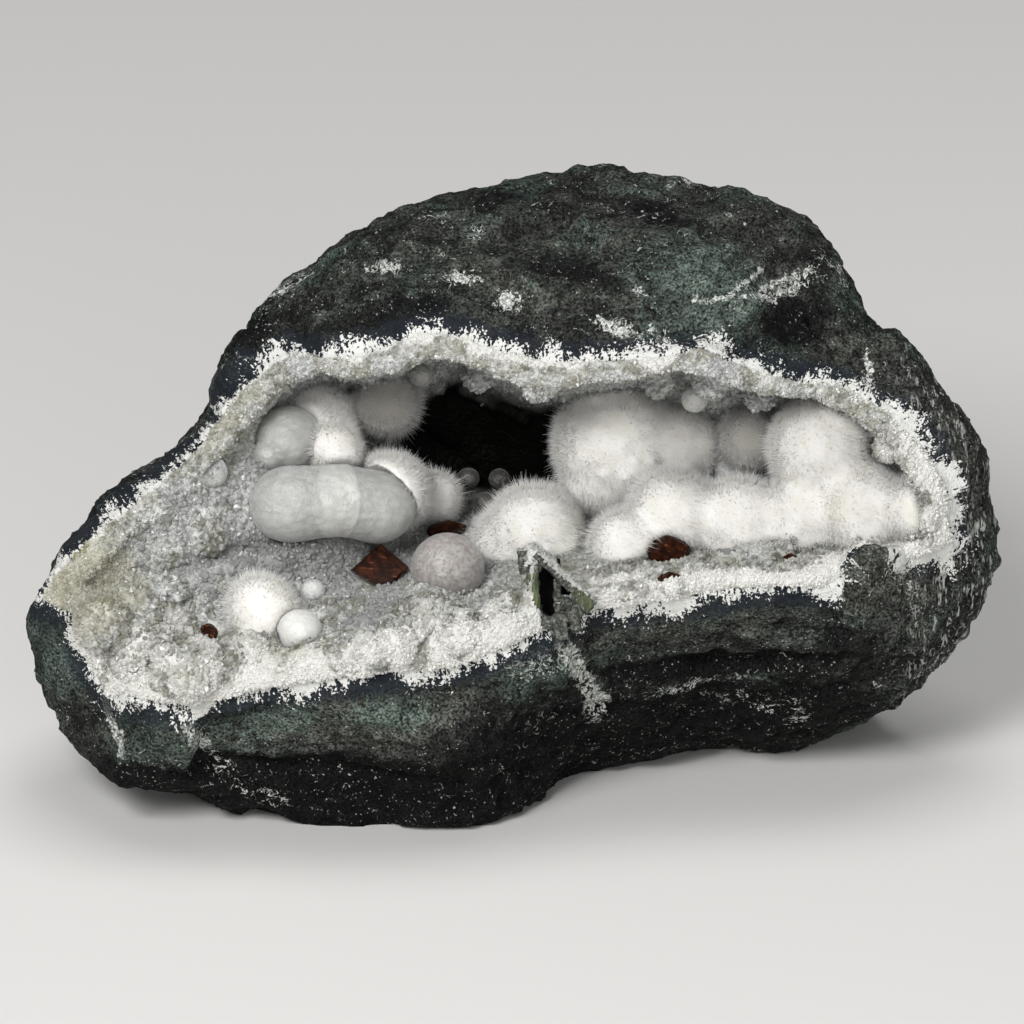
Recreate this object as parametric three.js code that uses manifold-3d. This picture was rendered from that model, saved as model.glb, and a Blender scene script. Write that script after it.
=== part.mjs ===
// A geode: a hollow basalt nodule broken open on one side, lined with a quartz crust on which
// okenite puffballs, gyrolite balls and brown crystals have grown.
// Millimetres, +Z up. The origin is the centre of the underside, at the middle of the bounding box.
//
// The shapes are worked out in the stone's own frame: x across the mouth, y up along the mouth
// and z out of the mouth. The stone is then leaned back onto its broken underside.
import * as THREE from "three";
import { ImprovedNoise } from "three/addons/math/ImprovedNoise.js";
import { mergeVertices } from "three/addons/utils/BufferGeometryUtils.js";
import Module from "manifold-3d";

const wasm = await Module();
wasm.setup();

// ---------------------------------------------------------------- driving dimensions

const MOUTH_LEAN = 22; // degrees that the mouth leans back from upright
const STAND_HEIGHT = 48.9; // stone frame origin above the underside
const FRONT_BULGE = 27; // how far the nodule stands out of its widest outline, before it is chipped
const BACK_BULGE = 41;
const BACK_BULGE_SHIFT = 7; // the back is this much fuller low down, and this much flatter at the top
const FULLNESS = 0.8; // 1 is an ellipsoid, less is boxier
const ROUGHNESS = 1.3; // height of the lumps on a broken face
const LEDGES = 3; // ledges between the lowest and the highest ground

const HOLLOW_DEPTH = -30; // z of the back of the hollow
const MOUTH_CENTRE = new THREE.Vector2(0, 2);
const LIP = 2.5; // depth of the mouth before the hollow widens
const CRUST_THICKNESS = 3.6;
const CRUST_STANDS_PROUD = 0.9; // of the broken face around the mouth
const SEAT_GAP = 0.35;

// The widest outline of the nodule, [x, y, z], anticlockwise from the left tip.
const OUTLINE = [
  [-81.5, -16, 4],
  [-82, -24, 5],
  [-78.5, -32, 5],
  [-71.5, -40, 5],
  [-63.5, -46.5, 4],
  [-57, -45.5, 2],
  [-49, -49, 2],
  [-31, -55, 3],
  [-10, -53.5, 1],
  [4.5, -53, -2],
  [10.5, -48.5, -10],
  [21, -43.5, -22],
  [34, -41.5, -28],
  [48, -41.5, -28],
  [56, -39, -26],
  [63.5, -35.5, -22],
  [70.5, -30.5, -16],
  [74, -24.5, -12],
  [80, -15.5, -6],
  [81.5, -7.5, -4],
  [78, 0, -4],
  [77.5, 11, -6],
  [71.5, 20.5, -8],
  [62, 31, -10],
  [53, 40.5, -12],
  [44.5, 48, -14],
  [34, 51.5, -15],
  [9, 56, -16],
  [-11, 51, -15],
  [-20, 48, -14],
  [-27, 45.5, -13],
  [-31, 41, -12],
  [-39.5, 35.5, -11],
  [-45.5, 28, -10],
  [-48, 20.5, -9],
  [-54.5, 9, -7],
  [-64, 3.5, -4],
  [-76, -9, 2],
];

// The edge of the mouth, [x, y, steepness]. A steepness near 0 is a wall that drops straight in,
// 1 is an even slope, and 2 is a floor that stays near the edge before it drops.
const MOUTH = [
  [-77.5, -16.5, 2.0],
  [-72, -18.5, 2.0],
  [-70, -26, 1.9],
  [-66, -32, 1.7],
  [-57, -33, 1.5],
  [-51, -33.5, 1.4],
  [-43, -31, 1.3],
  [-30, -29, 1.15],
  [-18, -28, 1.05],
  [-9, -27, 1.0],
  [0, -23.5, 1.0],
  [6, -21, 1.0],
  [13, -18, 0.95],
  [31, -15.5, 0.9],
  [43, -14, 0.8],
  [51, -14.5, 0.8],
  [55, -12.5, 0.8],
  [62, -11, 0.7],
  [72, -7, 0.6],
  [71, 2, 0.5],
  [67, 9, 0.5],
  [60.5, 15, 0.45],
  [54, 18.5, 0.4],
  [45, 19.5, 0.35],
  [37, 22, 0.35],
  [31, 24.5, 0.35],
  [22, 23, 0.35],
  [6, 22.5, 0.35],
  [-2, 24.5, 0.35],
  [-9, 27, 0.35],
  [-15, 27.5, 0.35],
  [-22, 24.5, 0.4],
  [-29, 23, 0.4],
  [-35, 24, 0.4],
  [-41, 21, 0.45],
  [-46, 16, 0.5],
  [-51.5, 8.5, 0.9],
  [-58, 2, 1.4],
  [-66, -4, 1.7],
  [-74, -11.5, 1.9],
];

// Broken faces that flatten the bulging nodule: a point on the face, the way it faces, its reach.
const BREAKS = [
  { at: [0, -30, 21], facing: [0.14, -0.37, 0.92], reach: 110 },
  { at: [-20, -47, 11], facing: [-0.1, -0.7, 0.71], reach: 46 },
  { at: [14, -38, 6], facing: [0.5, -0.62, 0.6], reach: 34 },
  { at: [38, -34, -2], facing: [0.1, -0.88, 0.46], reach: 44 },
  { at: [62, -22, 7], facing: [0.5, -0.35, 0.79], reach: 28 },
  { at: [-74, -28, 8], facing: [-0.62, -0.3, 0.72], reach: 20 },
  { at: [10, 46, 0], facing: [0, 0.85, 0.53], reach: 50 },
  { at: [-5, 32, 13.5], facing: [-0.05, 0.2, 0.98], reach: 34 },
  { at: [55, 26, 6], facing: [0.42, 0.5, 0.76], reach: 26 },
  { at: [-38, 30, 1], facing: [-0.5, 0.6, 0.62], reach: 22 },
  { at: [5, 14, -38], facing: [0, 0.4, -0.92], reach: 70 },
  { at: [56, 6, -30], facing: [0.62, 0.12, -0.77], reach: 40 },
  { at: [-56, -8, -26], facing: [-0.5, 0.1, -0.86], reach: 40 },
  { at: [20, -30, -52], facing: [0.1, -0.35, -0.93], reach: 50 },
];

// A block of the rock that was left standing at the mouth's lower right: its middle, its size, how
// its broken front falls away to the right and rises upwards, and how far that stands proud.
const BLOCK = { x: 59, y: -13, width: 10.4, height: 9.6, depth: 8, fall: -0.42, rise: 0.46, proud: 1.3 };

// ---------------------------------------------------------------- what has grown in the hollow

// Balls are [x, y, radius, lift]. Lift is how far a ball's centre stands off the crust behind it,
// in radii: 0.8 is a ball that rests on the crust, and more is one that hangs in front of it.
const PUFFBALLS = {
  okenite_bank: [
    [18.2, -6.8, 5.9, 1.2],
    [26.4, -1.9, 7.3, 2.2],
    [37.6, -3.3, 7.4, 1.5],
    [47.5, -2.5, 6.9, 1.35],
    [57.4, -1.3, 7.4, 0.8],
    [66, -1.5, 5.4, 0.6],
    [50.4, 8.6, 8.2, 0.8],
  ],
  okenite_great_ball: [
    [16.8, 9.2, 10, 0.8],
    [15.4, 4, 7, 1.6],
    [27.6, 8.8, 6.7, 0.8],
  ],
  okenite_back_ball: [[39.4, 9.9, 5.6, 0.6]],
  okenite_front_ball: [
    [3.5, -5.4, 8.2, 0.8],
    [-1.2, -6.6, 5.8, 0.8],
    [5.8, -1.9, 4.6, 1.6],
  ],
  okenite_left_group: [
    [-19.8, 1.3, 6.6, 0.5],
    [-19.6, 2, 6.2, 1.7],
    [-12.5, 0.8, 4.6, 0.7],
  ],
  okenite_corner_pair: [
    [-31.7, 13.4, 5.7, 0.7],
    [-30.2, 10.6, 4.9, 1.8],
    [-28.9, 8.7, 4.6, 2.9],
  ],
  okenite_roof_ball: [[-20.4, 15.8, 5.8, 0.8]],
  okenite_floor_ball: [[-41.2, -17.8, 6.3, 0.6]],
};

const LEAST_TUFTED = 7.2; // radius

const GYROLITES = {
  gyrolite_trio: [
    [-36.3, -0.5, 7, 0.45],
    [-27.8, 0.2, 6.3, 1.1],
    [-22.4, -1, 6.6, 1.3],
  ],
  gyrolite_left_pair: [
    [-37, 9.9, 5.9, 0.6],
    [-39.8, 7.6, 3, 1.1],
  ],
  gyrolite_centre_ball: [[-10.6, -11.2, 6.1, 0.8]],
  gyrolite_small_ball: [[-32.7, -15, 2.1, 0.8]],
  gyrolite_front_pair: [
    [-34.7, -21.5, 3.8, 0.8],
    [-41.3, -23.6, 3.1, 1.5],
  ],
  gyrolite_edge_ball: [[-49.3, 4.6, 2.7, 0.6]],
  gyrolite_roof_ball: [[30.2, 16.7, 2.3, 0.8]],
  gyrolite_back_ball: [[35.8, 5.2, 2.3, 0.8]],
  gyrolite_roof_pair: [
    [-18.8, 20.1, 1.9, 0.8],
    [-15, 20.6, 2, 0.8],
  ],
  gyrolite_deep_ball_1: [[-7.3, 3.6, 1.9, 0.8]],
  gyrolite_deep_ball_2: [[-2.1, 3.6, 1.8, 0.8]],
  gyrolite_deep_ball_3: [[-4.5, -0.5, 2, 0.8]],
};

// Brown crystals: [x, y, width, height, turn in degrees, lift in half widths].
const BROWN_CRYSTALS = {
  brown_rhomb: [-22.1, -11.2, 8.6, 6.6, -4, 0.6],
  brown_cluster: [25.6, -9, 6.8, 5.6, 12, 0.8],
  brown_chip_left: [-49.5, -21.8, 2.4, 3, 20, 0.6],
  brown_chip_middle: [25.7, -13.2, 3.6, 2.4, 15, 0.8],
  brown_chip_right: [45.4, -9.6, 2.6, 2, 0, 0.8],
  brown_blade: [-10.9, -5, 6, 2.4, 5, 0.8],
};

// Lumps of the crust along the mouth, [x, y, radius].
const CRUST_LUMPS = [
  [-14.4, -20.6, 3.2],
  [-10.6, -19.2, 2.6],
  [-17.8, -23, 2.8],
  [-9, -23.4, 2.6],
  [-22, -25, 2.4],
  [-28, -25.6, 2.2],
  [-47, -27, 2.8],
  [-54, -28.5, 3.6],
  [-61, -24, 3.8],
  [-66.5, -19.5, 3],
  [-62, -29, 2.8],
  [-52, -31.5, 2.6],
  [-5.5, 20.5, 2.6],
  [4.5, 19.4, 2.8],
  [24, 19.6, 2.6],
  [33, 19.8, 3],
  [41, 17.2, 2.6],
  [62, 8.6, 2.6],
  [65.5, -6, 2.8],
  [58, -9.4, 2.4],
];
// Gas holes in the nodule's broken face, [x, y, radius].
const GAS_HOLES = [
  [-12, 37, 1.3],
  [4, 44, 1.1],
  [20, 40, 1.4],
  [26, 33, 1.1],
  [38, 36, 1.2],
  [46, 28, 1.5],
  [-26, 34, 1.2],
  [60, 22, 1.2],
  [10, 31, 1],
  [-2, 47, 1],
  [-40, -38, 1.3],
  [-12, -36, 1.2],
  [-26, -42, 1.4],
  [30, -24, 1.3],
  [52, -27, 1.4],
  [68, -18, 1.1],
];
const BAR = { from: [21, -13.4], to: [45.5, -8.8], radius: 2.1 }; // a crystal-coated rod on the crust
// The walls round a hollow that a dissolved crystal has left: apex, left foot, right foot.
const CAST = { corners: [[3, -8.2], [3.2, -23], [12.9, -17.3]], wall: 1.5, front: 22 };
const CRYSTAL = { count: 44, radius: 1.1, height: 3, sides: 5 }; // the larger quartz points

// ---------------------------------------------------------------- shapes

const tilt = THREE.MathUtils.degToRad(90 - MOUTH_LEAN);
const noise = new ImprovedNoise();

// The entry of a ring of points that lies in a direction from a centre, between its neighbours.
function around(points, centre) {
  const angleOf = (p) => Math.atan2(p[1] - centre.y, p[0] - centre.x);
  const ring = [...points].sort((a, b) => angleOf(a) - angleOf(b));
  return (angle) => {
    let next = ring.findIndex((p) => angleOf(p) > angle);
    if (next < 0) next = 0;
    const before = ring[(next + ring.length - 1) % ring.length];
    const after = ring[next];
    const turn = (a) => THREE.MathUtils.euclideanModulo(a, 2 * Math.PI);
    const share = turn(angle - angleOf(before)) / turn(angleOf(after) - angleOf(before));
    return before.map((value, i) => THREE.MathUtils.lerp(value, after[i], share));
  };
}

const outlineAt = around(OUTLINE, new THREE.Vector2());
const mouthAt = around(MOUTH, MOUTH_CENTRE);

// A geometry of positions alone, with its shared vertices merged.
function plain(geometry) {
  const bare = geometry.clone();
  bare.deleteAttribute("normal");
  bare.deleteAttribute("uv");
  return mergeVertices(bare, 1e-4);
}

// A closed geometry whose every vertex is put at the place that a function gives for it.
function moved(geometry, place) {
  const closed = plain(geometry);
  const position = closed.getAttribute("position");
  const point = new THREE.Vector3();
  for (let i = 0; i < position.count; i++) {
    point.fromBufferAttribute(position, i);
    const p = place(point.clone(), i);
    position.setXYZ(i, p.x, p.y, p.z);
  }
  return closed;
}

function solid(geometry) {
  const closed = geometry.index ? geometry : mergeVertices(geometry, 1e-4);
  return new wasm.Manifold(
    new wasm.Mesh({
      numProp: 3,
      vertProperties: closed.getAttribute("position").array,
      triVerts: new Uint32Array(closed.index.array),
    }),
  );
}

function geometryOf(body) {
  const mesh = body.getMesh();
  const geometry = new THREE.BufferGeometry();
  geometry.setAttribute("position", new THREE.BufferAttribute(mesh.vertProperties, 3));
  geometry.setIndex(new THREE.BufferAttribute(mesh.triVerts, 1));
  const flat = geometry.toNonIndexed();
  flat.computeVertexNormals();
  return flat;
}

// How far a bulge of height 1 stands out at a share of the way from the middle to the outline.
const bulge = (share) => Math.pow(Math.max(0, 1 - share * share), FULLNESS / 2);

function chipped(point) {
  for (const { at, facing, reach } of BREAKS) {
    const face = new THREE.Vector3(...facing).normalize();
    const offset = point.clone().sub(new THREE.Vector3(...at));
    const proud = offset.dot(face);
    const hold = 1 - THREE.MathUtils.smoothstep(offset.length(), 0.65 * reach, reach);
    if (proud > 0) point.addScaledVector(face, -proud * hold);
  }
  return point;
}

// The height of the rock at a point: broken ledges, each nearly flat, with smaller lumps on them.
function rockNoise(p) {
  const broad = LEDGES * noise.noise(p.x / 17 + 7, p.y / 12 + 3, p.z / 17);
  const ledge = Math.floor(broad) + THREE.MathUtils.smoothstep(broad - Math.floor(broad), 0.6, 1);
  const small = noise.noise(p.x / 7, p.y / 6 + 11, p.z / 7 + 5);
  return (1.6 * ledge) / LEDGES + 0.7 * small;
}

// The nodule's outside, grown by some millimetres, before its underside is cut.
function nodule(detail, grown) {
  return moved(new THREE.IcosahedronGeometry(1, detail), (way) => {
    const share = Math.hypot(way.x, way.y);
    const [x, y, z] = outlineAt(Math.atan2(way.y, way.x));
    const spread = Math.pow(share, FULLNESS);
    const back = BACK_BULGE - (BACK_BULGE_SHIFT * way.y) / Math.max(share, 0.2);
    const depth = way.z > 0 ? FRONT_BULGE : -back;
    const point = chipped(new THREE.Vector3(x * spread, y * spread, z * share + depth * bulge(share)));
    const outwards = point.clone().normalize();
    return point.addScaledVector(outwards, grown + ROUGHNESS * rockNoise(point));
  });
}

// The depth of the nodule's front at a place in the mouth.
function frontDepth(x, y) {
  const [outlineX, outlineY, outlineZ] = outlineAt(Math.atan2(y, x));
  const spread = Math.min(1, Math.hypot(x, y) / Math.hypot(outlineX, outlineY));
  const share = Math.pow(spread, 1 / FULLNESS);
  const point = new THREE.Vector3(x, y, outlineZ * share + FRONT_BULGE * bulge(share));
  return chipped(point).z;
}

const crustThickness = (angle) => {
  const fromLowerLeft = Math.cos(angle + THREE.MathUtils.degToRad(152));
  return CRUST_THICKNESS + 3 * Math.pow(Math.max(0, fromLowerLeft), 6);
};

// A point of the hollow's wall, inward of a point of the mouth's edge. Lean is 0 at the edge and a
// right angle at the deepest point.
function hollowWall([edgeX, edgeY, steepness], lean, inset) {
  const edge = new THREE.Vector2(edgeX, edgeY).sub(MOUTH_CENTRE);
  const radius = Math.max(edge.length() - inset, 1);
  const overhang = 0.25 * Math.max(0, 1 - steepness / 0.7);
  const spread = Math.cos(lean) + overhang * Math.sin(2 * lean);
  const rim = frontDepth(edgeX, edgeY) - LIP - 2 * steepness;
  const drop = (rim - HOLLOW_DEPTH) * Math.pow(1 - Math.cos(lean), steepness);
  const flat = edge.setLength(radius * spread).add(MOUTH_CENTRE);
  return new THREE.Vector3(flat.x, flat.y, rim + inset - drop);
}

// The hollow as a solid that also reaches out through the mouth, its walls moved in by an inset.
function hollow(insetAt) {
  const openHeight = 60;
  const ball = new THREE.SphereGeometry(1, MOUTH.length, 10).rotateX(Math.PI / 2);
  return moved(ball, (way) => {
    const column = Math.round((Math.atan2(way.y, way.x) / (2 * Math.PI)) * MOUTH.length);
    const edge = MOUTH[(column + MOUTH.length) % MOUTH.length];
    const inset = insetAt(Math.atan2(edge[1] - MOUTH_CENTRE.y, edge[0] - MOUTH_CENTRE.x));
    if (way.z <= 1e-6) return hollowWall(edge, Math.asin(Math.min(1, -way.z)), inset);
    const point = hollowWall(edge, 0, inset);
    if (way.z > 0.999) return new THREE.Vector3(MOUTH_CENTRE.x, MOUTH_CENTRE.y, openHeight + 15);
    return point.setZ(point.z + openHeight * way.z);
  });
}

// The same closed surface moved inwards by a gap.
function shrunk(geometry, gap) {
  geometry.computeVertexNormals();
  const normal = geometry.getAttribute("normal");
  const inwards = new THREE.Vector3();
  return moved(geometry, (point, i) => point.addScaledVector(inwards.fromBufferAttribute(normal, i), -gap));
}

// The depth of the crust's face behind a place in the mouth.
function wallDepth(x, y) {
  const angle = Math.atan2(y - MOUTH_CENTRE.y, x - MOUTH_CENTRE.x);
  const inset = SEAT_GAP + crustThickness(angle);
  const [edgeX, edgeY] = mouthAt(angle);
  const radius = Math.hypot(edgeX - MOUTH_CENTRE.x, edgeY - MOUTH_CENTRE.y) - inset;
  const reach = Math.hypot(x - MOUTH_CENTRE.x, y - MOUTH_CENTRE.y);
  return hollowWall(mouthAt(angle), Math.acos(Math.min(0.999, reach / radius)), inset).z;
}

const smoothBall = (radius) => plain(new THREE.IcosahedronGeometry(radius, radius > 3.5 ? 2 : 1));

// A ball whose facets are drawn out into blunt tufts of needles. The small ones are too fine for it.
function tuftedBall(radius) {
  if (radius < LEAST_TUFTED) return plain(new THREE.IcosahedronGeometry(radius, 1));
  const base = plain(new THREE.IcosahedronGeometry(radius, 1));
  const position = base.getAttribute("position");
  const index = base.index;
  const corners = [];
  const tuft = 0.1 * radius;
  for (let i = 0; i < index.count; i += 3) {
    const corner = (k) => new THREE.Vector3().fromBufferAttribute(position, index.getX(i + k));
    const [a, b, c] = [corner(0), corner(1), corner(2)];
    const tip = a.clone().add(b).add(c).setLength(radius + tuft);
    for (const [from, to] of [[a, b], [b, c], [c, a]]) corners.push(...from, ...to, ...tip);
  }
  const spiny = new THREE.BufferGeometry();
  spiny.setAttribute("position", new THREE.Float32BufferAttribute(corners, 3));
  return mergeVertices(spiny, 1e-4);
}

// A body put at a place, turned so that its own Z axis points along a direction.
function aimed(geometry, place, direction, spin = 0) {
  const along = new THREE.Vector3(...direction).normalize();
  const turn = new THREE.Quaternion().setFromUnitVectors(new THREE.Vector3(0, 0, 1), along);
  geometry.rotateZ(spin);
  geometry.applyQuaternion(turn);
  return geometry.translate(place.x, place.y, place.z);
}

// A crystal that stands along Z with its middle at the origin: a prism with a point at its top.
function quartzPoint(radius, height) {
  const outline = [[0, -height / 2], [radius, -height / 2], [radius, height / 2], [0, height]];
  const points = outline.map((point) => new THREE.Vector2(...point));
  return plain(new THREE.LatheGeometry(points, CRYSTAL.sides).rotateX(Math.PI / 2));
}

// ---------------------------------------------------------------- the stone and its crust

function undersideCut() {
  const size = 400;
  const box = plain(new THREE.BoxGeometry(size, size, size));
  const down = new THREE.Vector3(0, -Math.sin(tilt), -Math.cos(tilt));
  const turn = new THREE.Quaternion().setFromUnitVectors(new THREE.Vector3(0, 0, 1), down);
  box.applyQuaternion(turn);
  const centre = down.multiplyScalar(STAND_HEIGHT + size / 2);
  return solid(box.translate(centre.x, centre.y, centre.z));
}

// Places scattered evenly over the hollow's wall, each with the way that the wall faces there.
function* scattered(count) {
  const goldenTurn = Math.PI * (3 - Math.sqrt(5));
  const inset = CRUST_THICKNESS + SEAT_GAP;
  for (let i = 0; i < count; i++) {
    const angle = THREE.MathUtils.euclideanModulo(i * goldenTurn + Math.PI, 2 * Math.PI) - Math.PI;
    const lean = 0.05 + 1.15 * ((i * 0.618) % 1);
    const [here, before, after] = [0, -0.05, 0.05].map((turn) => mouthAt(angle + turn));
    const place = hollowWall(here, lean, SEAT_GAP + crustThickness(angle));
    const beside = hollowWall(after, lean, inset).sub(hollowWall(before, lean, inset));
    const behind = hollowWall(here, lean + 0.05, inset).sub(hollowWall(here, lean - 0.05, inset));
    yield { place, facing: behind.cross(beside).normalize(), i };
  }
}

const ballCentre = ([x, y, radius, lift]) => new THREE.Vector3(x, y, wallDepth(x, y) + lift * radius);

// Crystals stand where nothing else has grown.
function clearOfOthers(place) {
  const balls = [...Object.values(PUFFBALLS), ...Object.values(GYROLITES)].flat();
  const browns = Object.values(BROWN_CRYSTALS).map(([x, y, width]) => [x, y, 0.7 * width, 0]);
  const clear = (entry) => ballCentre(entry).distanceTo(place) > 1.12 * entry[2] + CRYSTAL.height + 0.5;
  return [...balls, ...browns].every(clear);
}

function quartzPoints() {
  const points = [];
  for (const { place, facing, i } of scattered(CRYSTAL.count)) {
    if (!clearOfOthers(place)) continue;
    const size = 0.8 + 0.5 * Math.abs(Math.sin(i * 2.3));
    const sway = new THREE.Vector3(Math.sin(i), Math.cos(1.7 * i), Math.sin(2.1 * i));
    const lean = facing.addScaledVector(sway, 0.3).toArray();
    points.push(solid(aimed(quartzPoint(CRYSTAL.radius * size, CRYSTAL.height * size), place, lean, i)));
  }
  return points;
}

function crustLumps(grown) {
  return CRUST_LUMPS.map(([x, y, radius], i) => {
    const lump = plain(new THREE.IcosahedronGeometry(radius + grown, radius > 2.7 ? 1 : 0));
    const z = wallDepth(x, y);
    return solid(lump.rotateX(i).rotateY(2 * i).translate(x, y, z));
  });
}

function rod(grown) {
  const from = new THREE.Vector3(...BAR.from, wallDepth(...BAR.from) + BAR.radius);
  const to = new THREE.Vector3(...BAR.to, wallDepth(...BAR.to) + BAR.radius);
  const along = to.clone().sub(from);
  const body = new THREE.CylinderGeometry(BAR.radius + grown, BAR.radius + grown, along.length(), 7, 1);
  const middle = from.add(to).multiplyScalar(0.5);
  return solid(aimed(plain(body.rotateX(Math.PI / 2)), middle, along.toArray()));
}

// The thin walls that stood round a crystal which has since dissolved, open to the front.
function castWalls(grown) {
  const [apex, left, right] = CAST.corners.map((corner) => new THREE.Vector2(...corner));
  return [left, right].map((end) => {
    const along = end.clone().sub(apex);
    const back = HOLLOW_DEPTH;
    const length = along.length() + 2 * grown;
    const wall = new THREE.BoxGeometry(length, CAST.wall + 2 * grown, CAST.front - back + grown);
    wall.rotateZ(along.angle());
    const middle = apex.clone().add(end).multiplyScalar(0.5);
    return solid(plain(wall).translate(middle.x, middle.y, (CAST.front + back + grown) / 2));
  });
}

const crustDetails = (grown) => [...crustLumps(grown), rod(grown)];

const biggest = (body) => body.decompose().sort((a, b) => b.volume() - a.volume())[0];

const outside = solid(nodule(8, 0));
const outsideProud = solid(nodule(7, CRUST_STANDS_PROUD));
const cavity = hollow(() => 0);
const crustBed = solid(cavity).intersect(solid(shrunk(cavity, SEAT_GAP)));
const crustSurface = hollow((angle) => SEAT_GAP + crustThickness(angle));
const crustFace = solid(crustSurface);
const under = undersideCut();

// Small gas holes, open on the broken face that they lie in.
function gasHoles() {
  return GAS_HOLES.map(([x, y, radius], i) => {
    const hole = plain(new THREE.IcosahedronGeometry(radius, 0).scale(1.5, 1, 0.8).rotateZ(1.9 * i));
    return solid(hole.translate(x, y, frontDepth(x, y) + 0.2));
  });
}

function standingBlock(grown) {
  const { x, y, width, height, depth, fall, rise, proud } = BLOCK;
  const box = new THREE.BoxGeometry(width + 2 * grown, height + 2 * grown, depth + 2 * grown, 2, 2, 1);
  const z = frontDepth(x, y) + proud - depth / 2;
  const broken = moved(box, (p) => {
    const jut = 0.5 * Math.sin((11 * p.x) / (width / 2 + grown) + (6 * p.y) / (height / 2 + grown));
    return new THREE.Vector3(p.x + jut, p.y - 0.4 * jut, p.z + fall * p.x + rise * p.y + jut);
  });
  return solid(broken.translate(x, y, z));
}

const body = outside.subtract(solid(cavity)).subtract(wasm.Manifold.union(gasHoles()));
const basalt = biggest(body.subtract(under)).add(standingBlock(0));
const lining = crustBed.intersect(outsideProud).subtract(crustFace);
const details = wasm.Manifold.union([...crustDetails(0), ...quartzPoints()]);
const cast = wasm.Manifold.union(castWalls(0)).intersect(outsideProud);
const crustWhole = lining.add(details.add(cast).intersect(crustBed));
const crust = biggest(crustWhole.subtract(standingBlock(SEAT_GAP)));

// ---------------------------------------------------------------- what has grown on the crust

const room = solid(shrunk(crustSurface, SEAT_GAP))
  .intersect(crustFace)
  .subtract(wasm.Manifold.union([...crustDetails(SEAT_GAP), ...castWalls(SEAT_GAP)]));

function balls(list, shape, grown) {
  return wasm.Manifold.union(
    list.map((entry, i) => {
      const ball = shape(entry[2] + grown).rotateX(1.3 * i);
      return solid(ball.rotateY(0.7 * i + entry[2]).translate(...ballCentre(entry)));
    }),
  );
}

function brownCrystal([x, y, width, height, turn, lift], grown) {
  const depth = 0.8 * width;
  const box = new THREE.BoxGeometry(width + grown, height + grown, depth + grown);
  const bevel = new THREE.OctahedronGeometry(0.86 * width + grown).scale(1, height / width, 0.9);
  const core = solid(plain(box)).intersect(solid(plain(bevel)));
  const z = wallDepth(x, y) + (lift * depth) / 2;
  return core.rotate(-15, 20, turn).translate(x, y, z);
}

const grownPieces = [];
let taken = standingBlock(SEAT_GAP);
function grow(name, material, shapeOf) {
  const body = shapeOf(0).intersect(room).subtract(taken);
  grownPieces.push({ name, material, body: biggest(body) });
  taken = taken.add(shapeOf(SEAT_GAP));
}
for (const [name, entry] of Object.entries(BROWN_CRYSTALS)) {
  grow(name, "brown", (grown) => brownCrystal(entry, grown));
}
for (const [name, list] of Object.entries(GYROLITES)) {
  grow(name, "gyrolite", (grown) => balls(list, smoothBall, grown));
}
for (const [name, list] of Object.entries(PUFFBALLS)) {
  grow(name, "okenite", (grown) => balls(list, tuftedBall, grown));
}

// ---------------------------------------------------------------- materials and assembly

const MATERIALS = {
  basalt: () => new THREE.MeshStandardMaterial({ name: "basalt", color: "#3d4140", roughness: 0.95 }),
  quartz: () => new THREE.MeshStandardMaterial({ name: "quartz", color: "#c9cccb", roughness: 0.4 }),
  okenite: () => new THREE.MeshStandardMaterial({ name: "okenite", color: "#f2f2ee", roughness: 1 }),
  gyrolite: () => new THREE.MeshStandardMaterial({ name: "gyrolite", color: "#bfc2bd", roughness: 0.35 }),
  brown: () => new THREE.MeshStandardMaterial({ name: "brown", color: "#5f4030", roughness: 0.3 }),
};

function part(name, material, body) {
  const mesh = new THREE.Mesh(geometryOf(body), MATERIALS[material]());
  mesh.name = name;
  mesh.rotation.x = tilt;
  return mesh;
}

const specimen = new THREE.Group();
specimen.name = "okenite_puffball";
specimen.add(part("basalt_matrix", "basalt", basalt));
specimen.add(part("quartz_crust", "quartz", crust));
for (const { name, material, body } of grownPieces) specimen.add(part(name, material, body));

specimen.updateMatrixWorld(true);
const box = new THREE.Box3().setFromObject(specimen, true);
const centre = box.getCenter(new THREE.Vector3());
for (const mesh of specimen.children) mesh.position.set(-centre.x, -centre.y, -box.min.z);

export default specimen;
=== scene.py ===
"""A basalt geode with okenite puffballs, gyrolite balls and a drusy quartz crust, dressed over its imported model."""

import math

import bmesh
import bpy
import numpy as np
from bpy.props import FloatProperty, FloatVectorProperty, IntProperty, PointerProperty
from bpy.types import Operator, Panel, PropertyGroup
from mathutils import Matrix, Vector, noise
from mathutils.bvhtree import BVHTree


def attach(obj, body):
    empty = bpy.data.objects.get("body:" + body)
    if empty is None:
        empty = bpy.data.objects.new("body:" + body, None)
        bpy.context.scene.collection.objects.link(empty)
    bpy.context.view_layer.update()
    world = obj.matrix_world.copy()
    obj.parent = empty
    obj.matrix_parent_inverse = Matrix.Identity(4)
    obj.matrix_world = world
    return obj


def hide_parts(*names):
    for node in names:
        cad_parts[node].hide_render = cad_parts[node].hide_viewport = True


bl_info = {
    "name": "Okenite geode",
    "version": (1, 0, 0),
    "blender": (4, 5, 0),
    "location": "View3D > Sidebar > Geode",
    "description": "Gives a basalt geode its broken rock, drusy crust, puffballs and pearly balls",
    "category": "Object",
}

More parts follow.
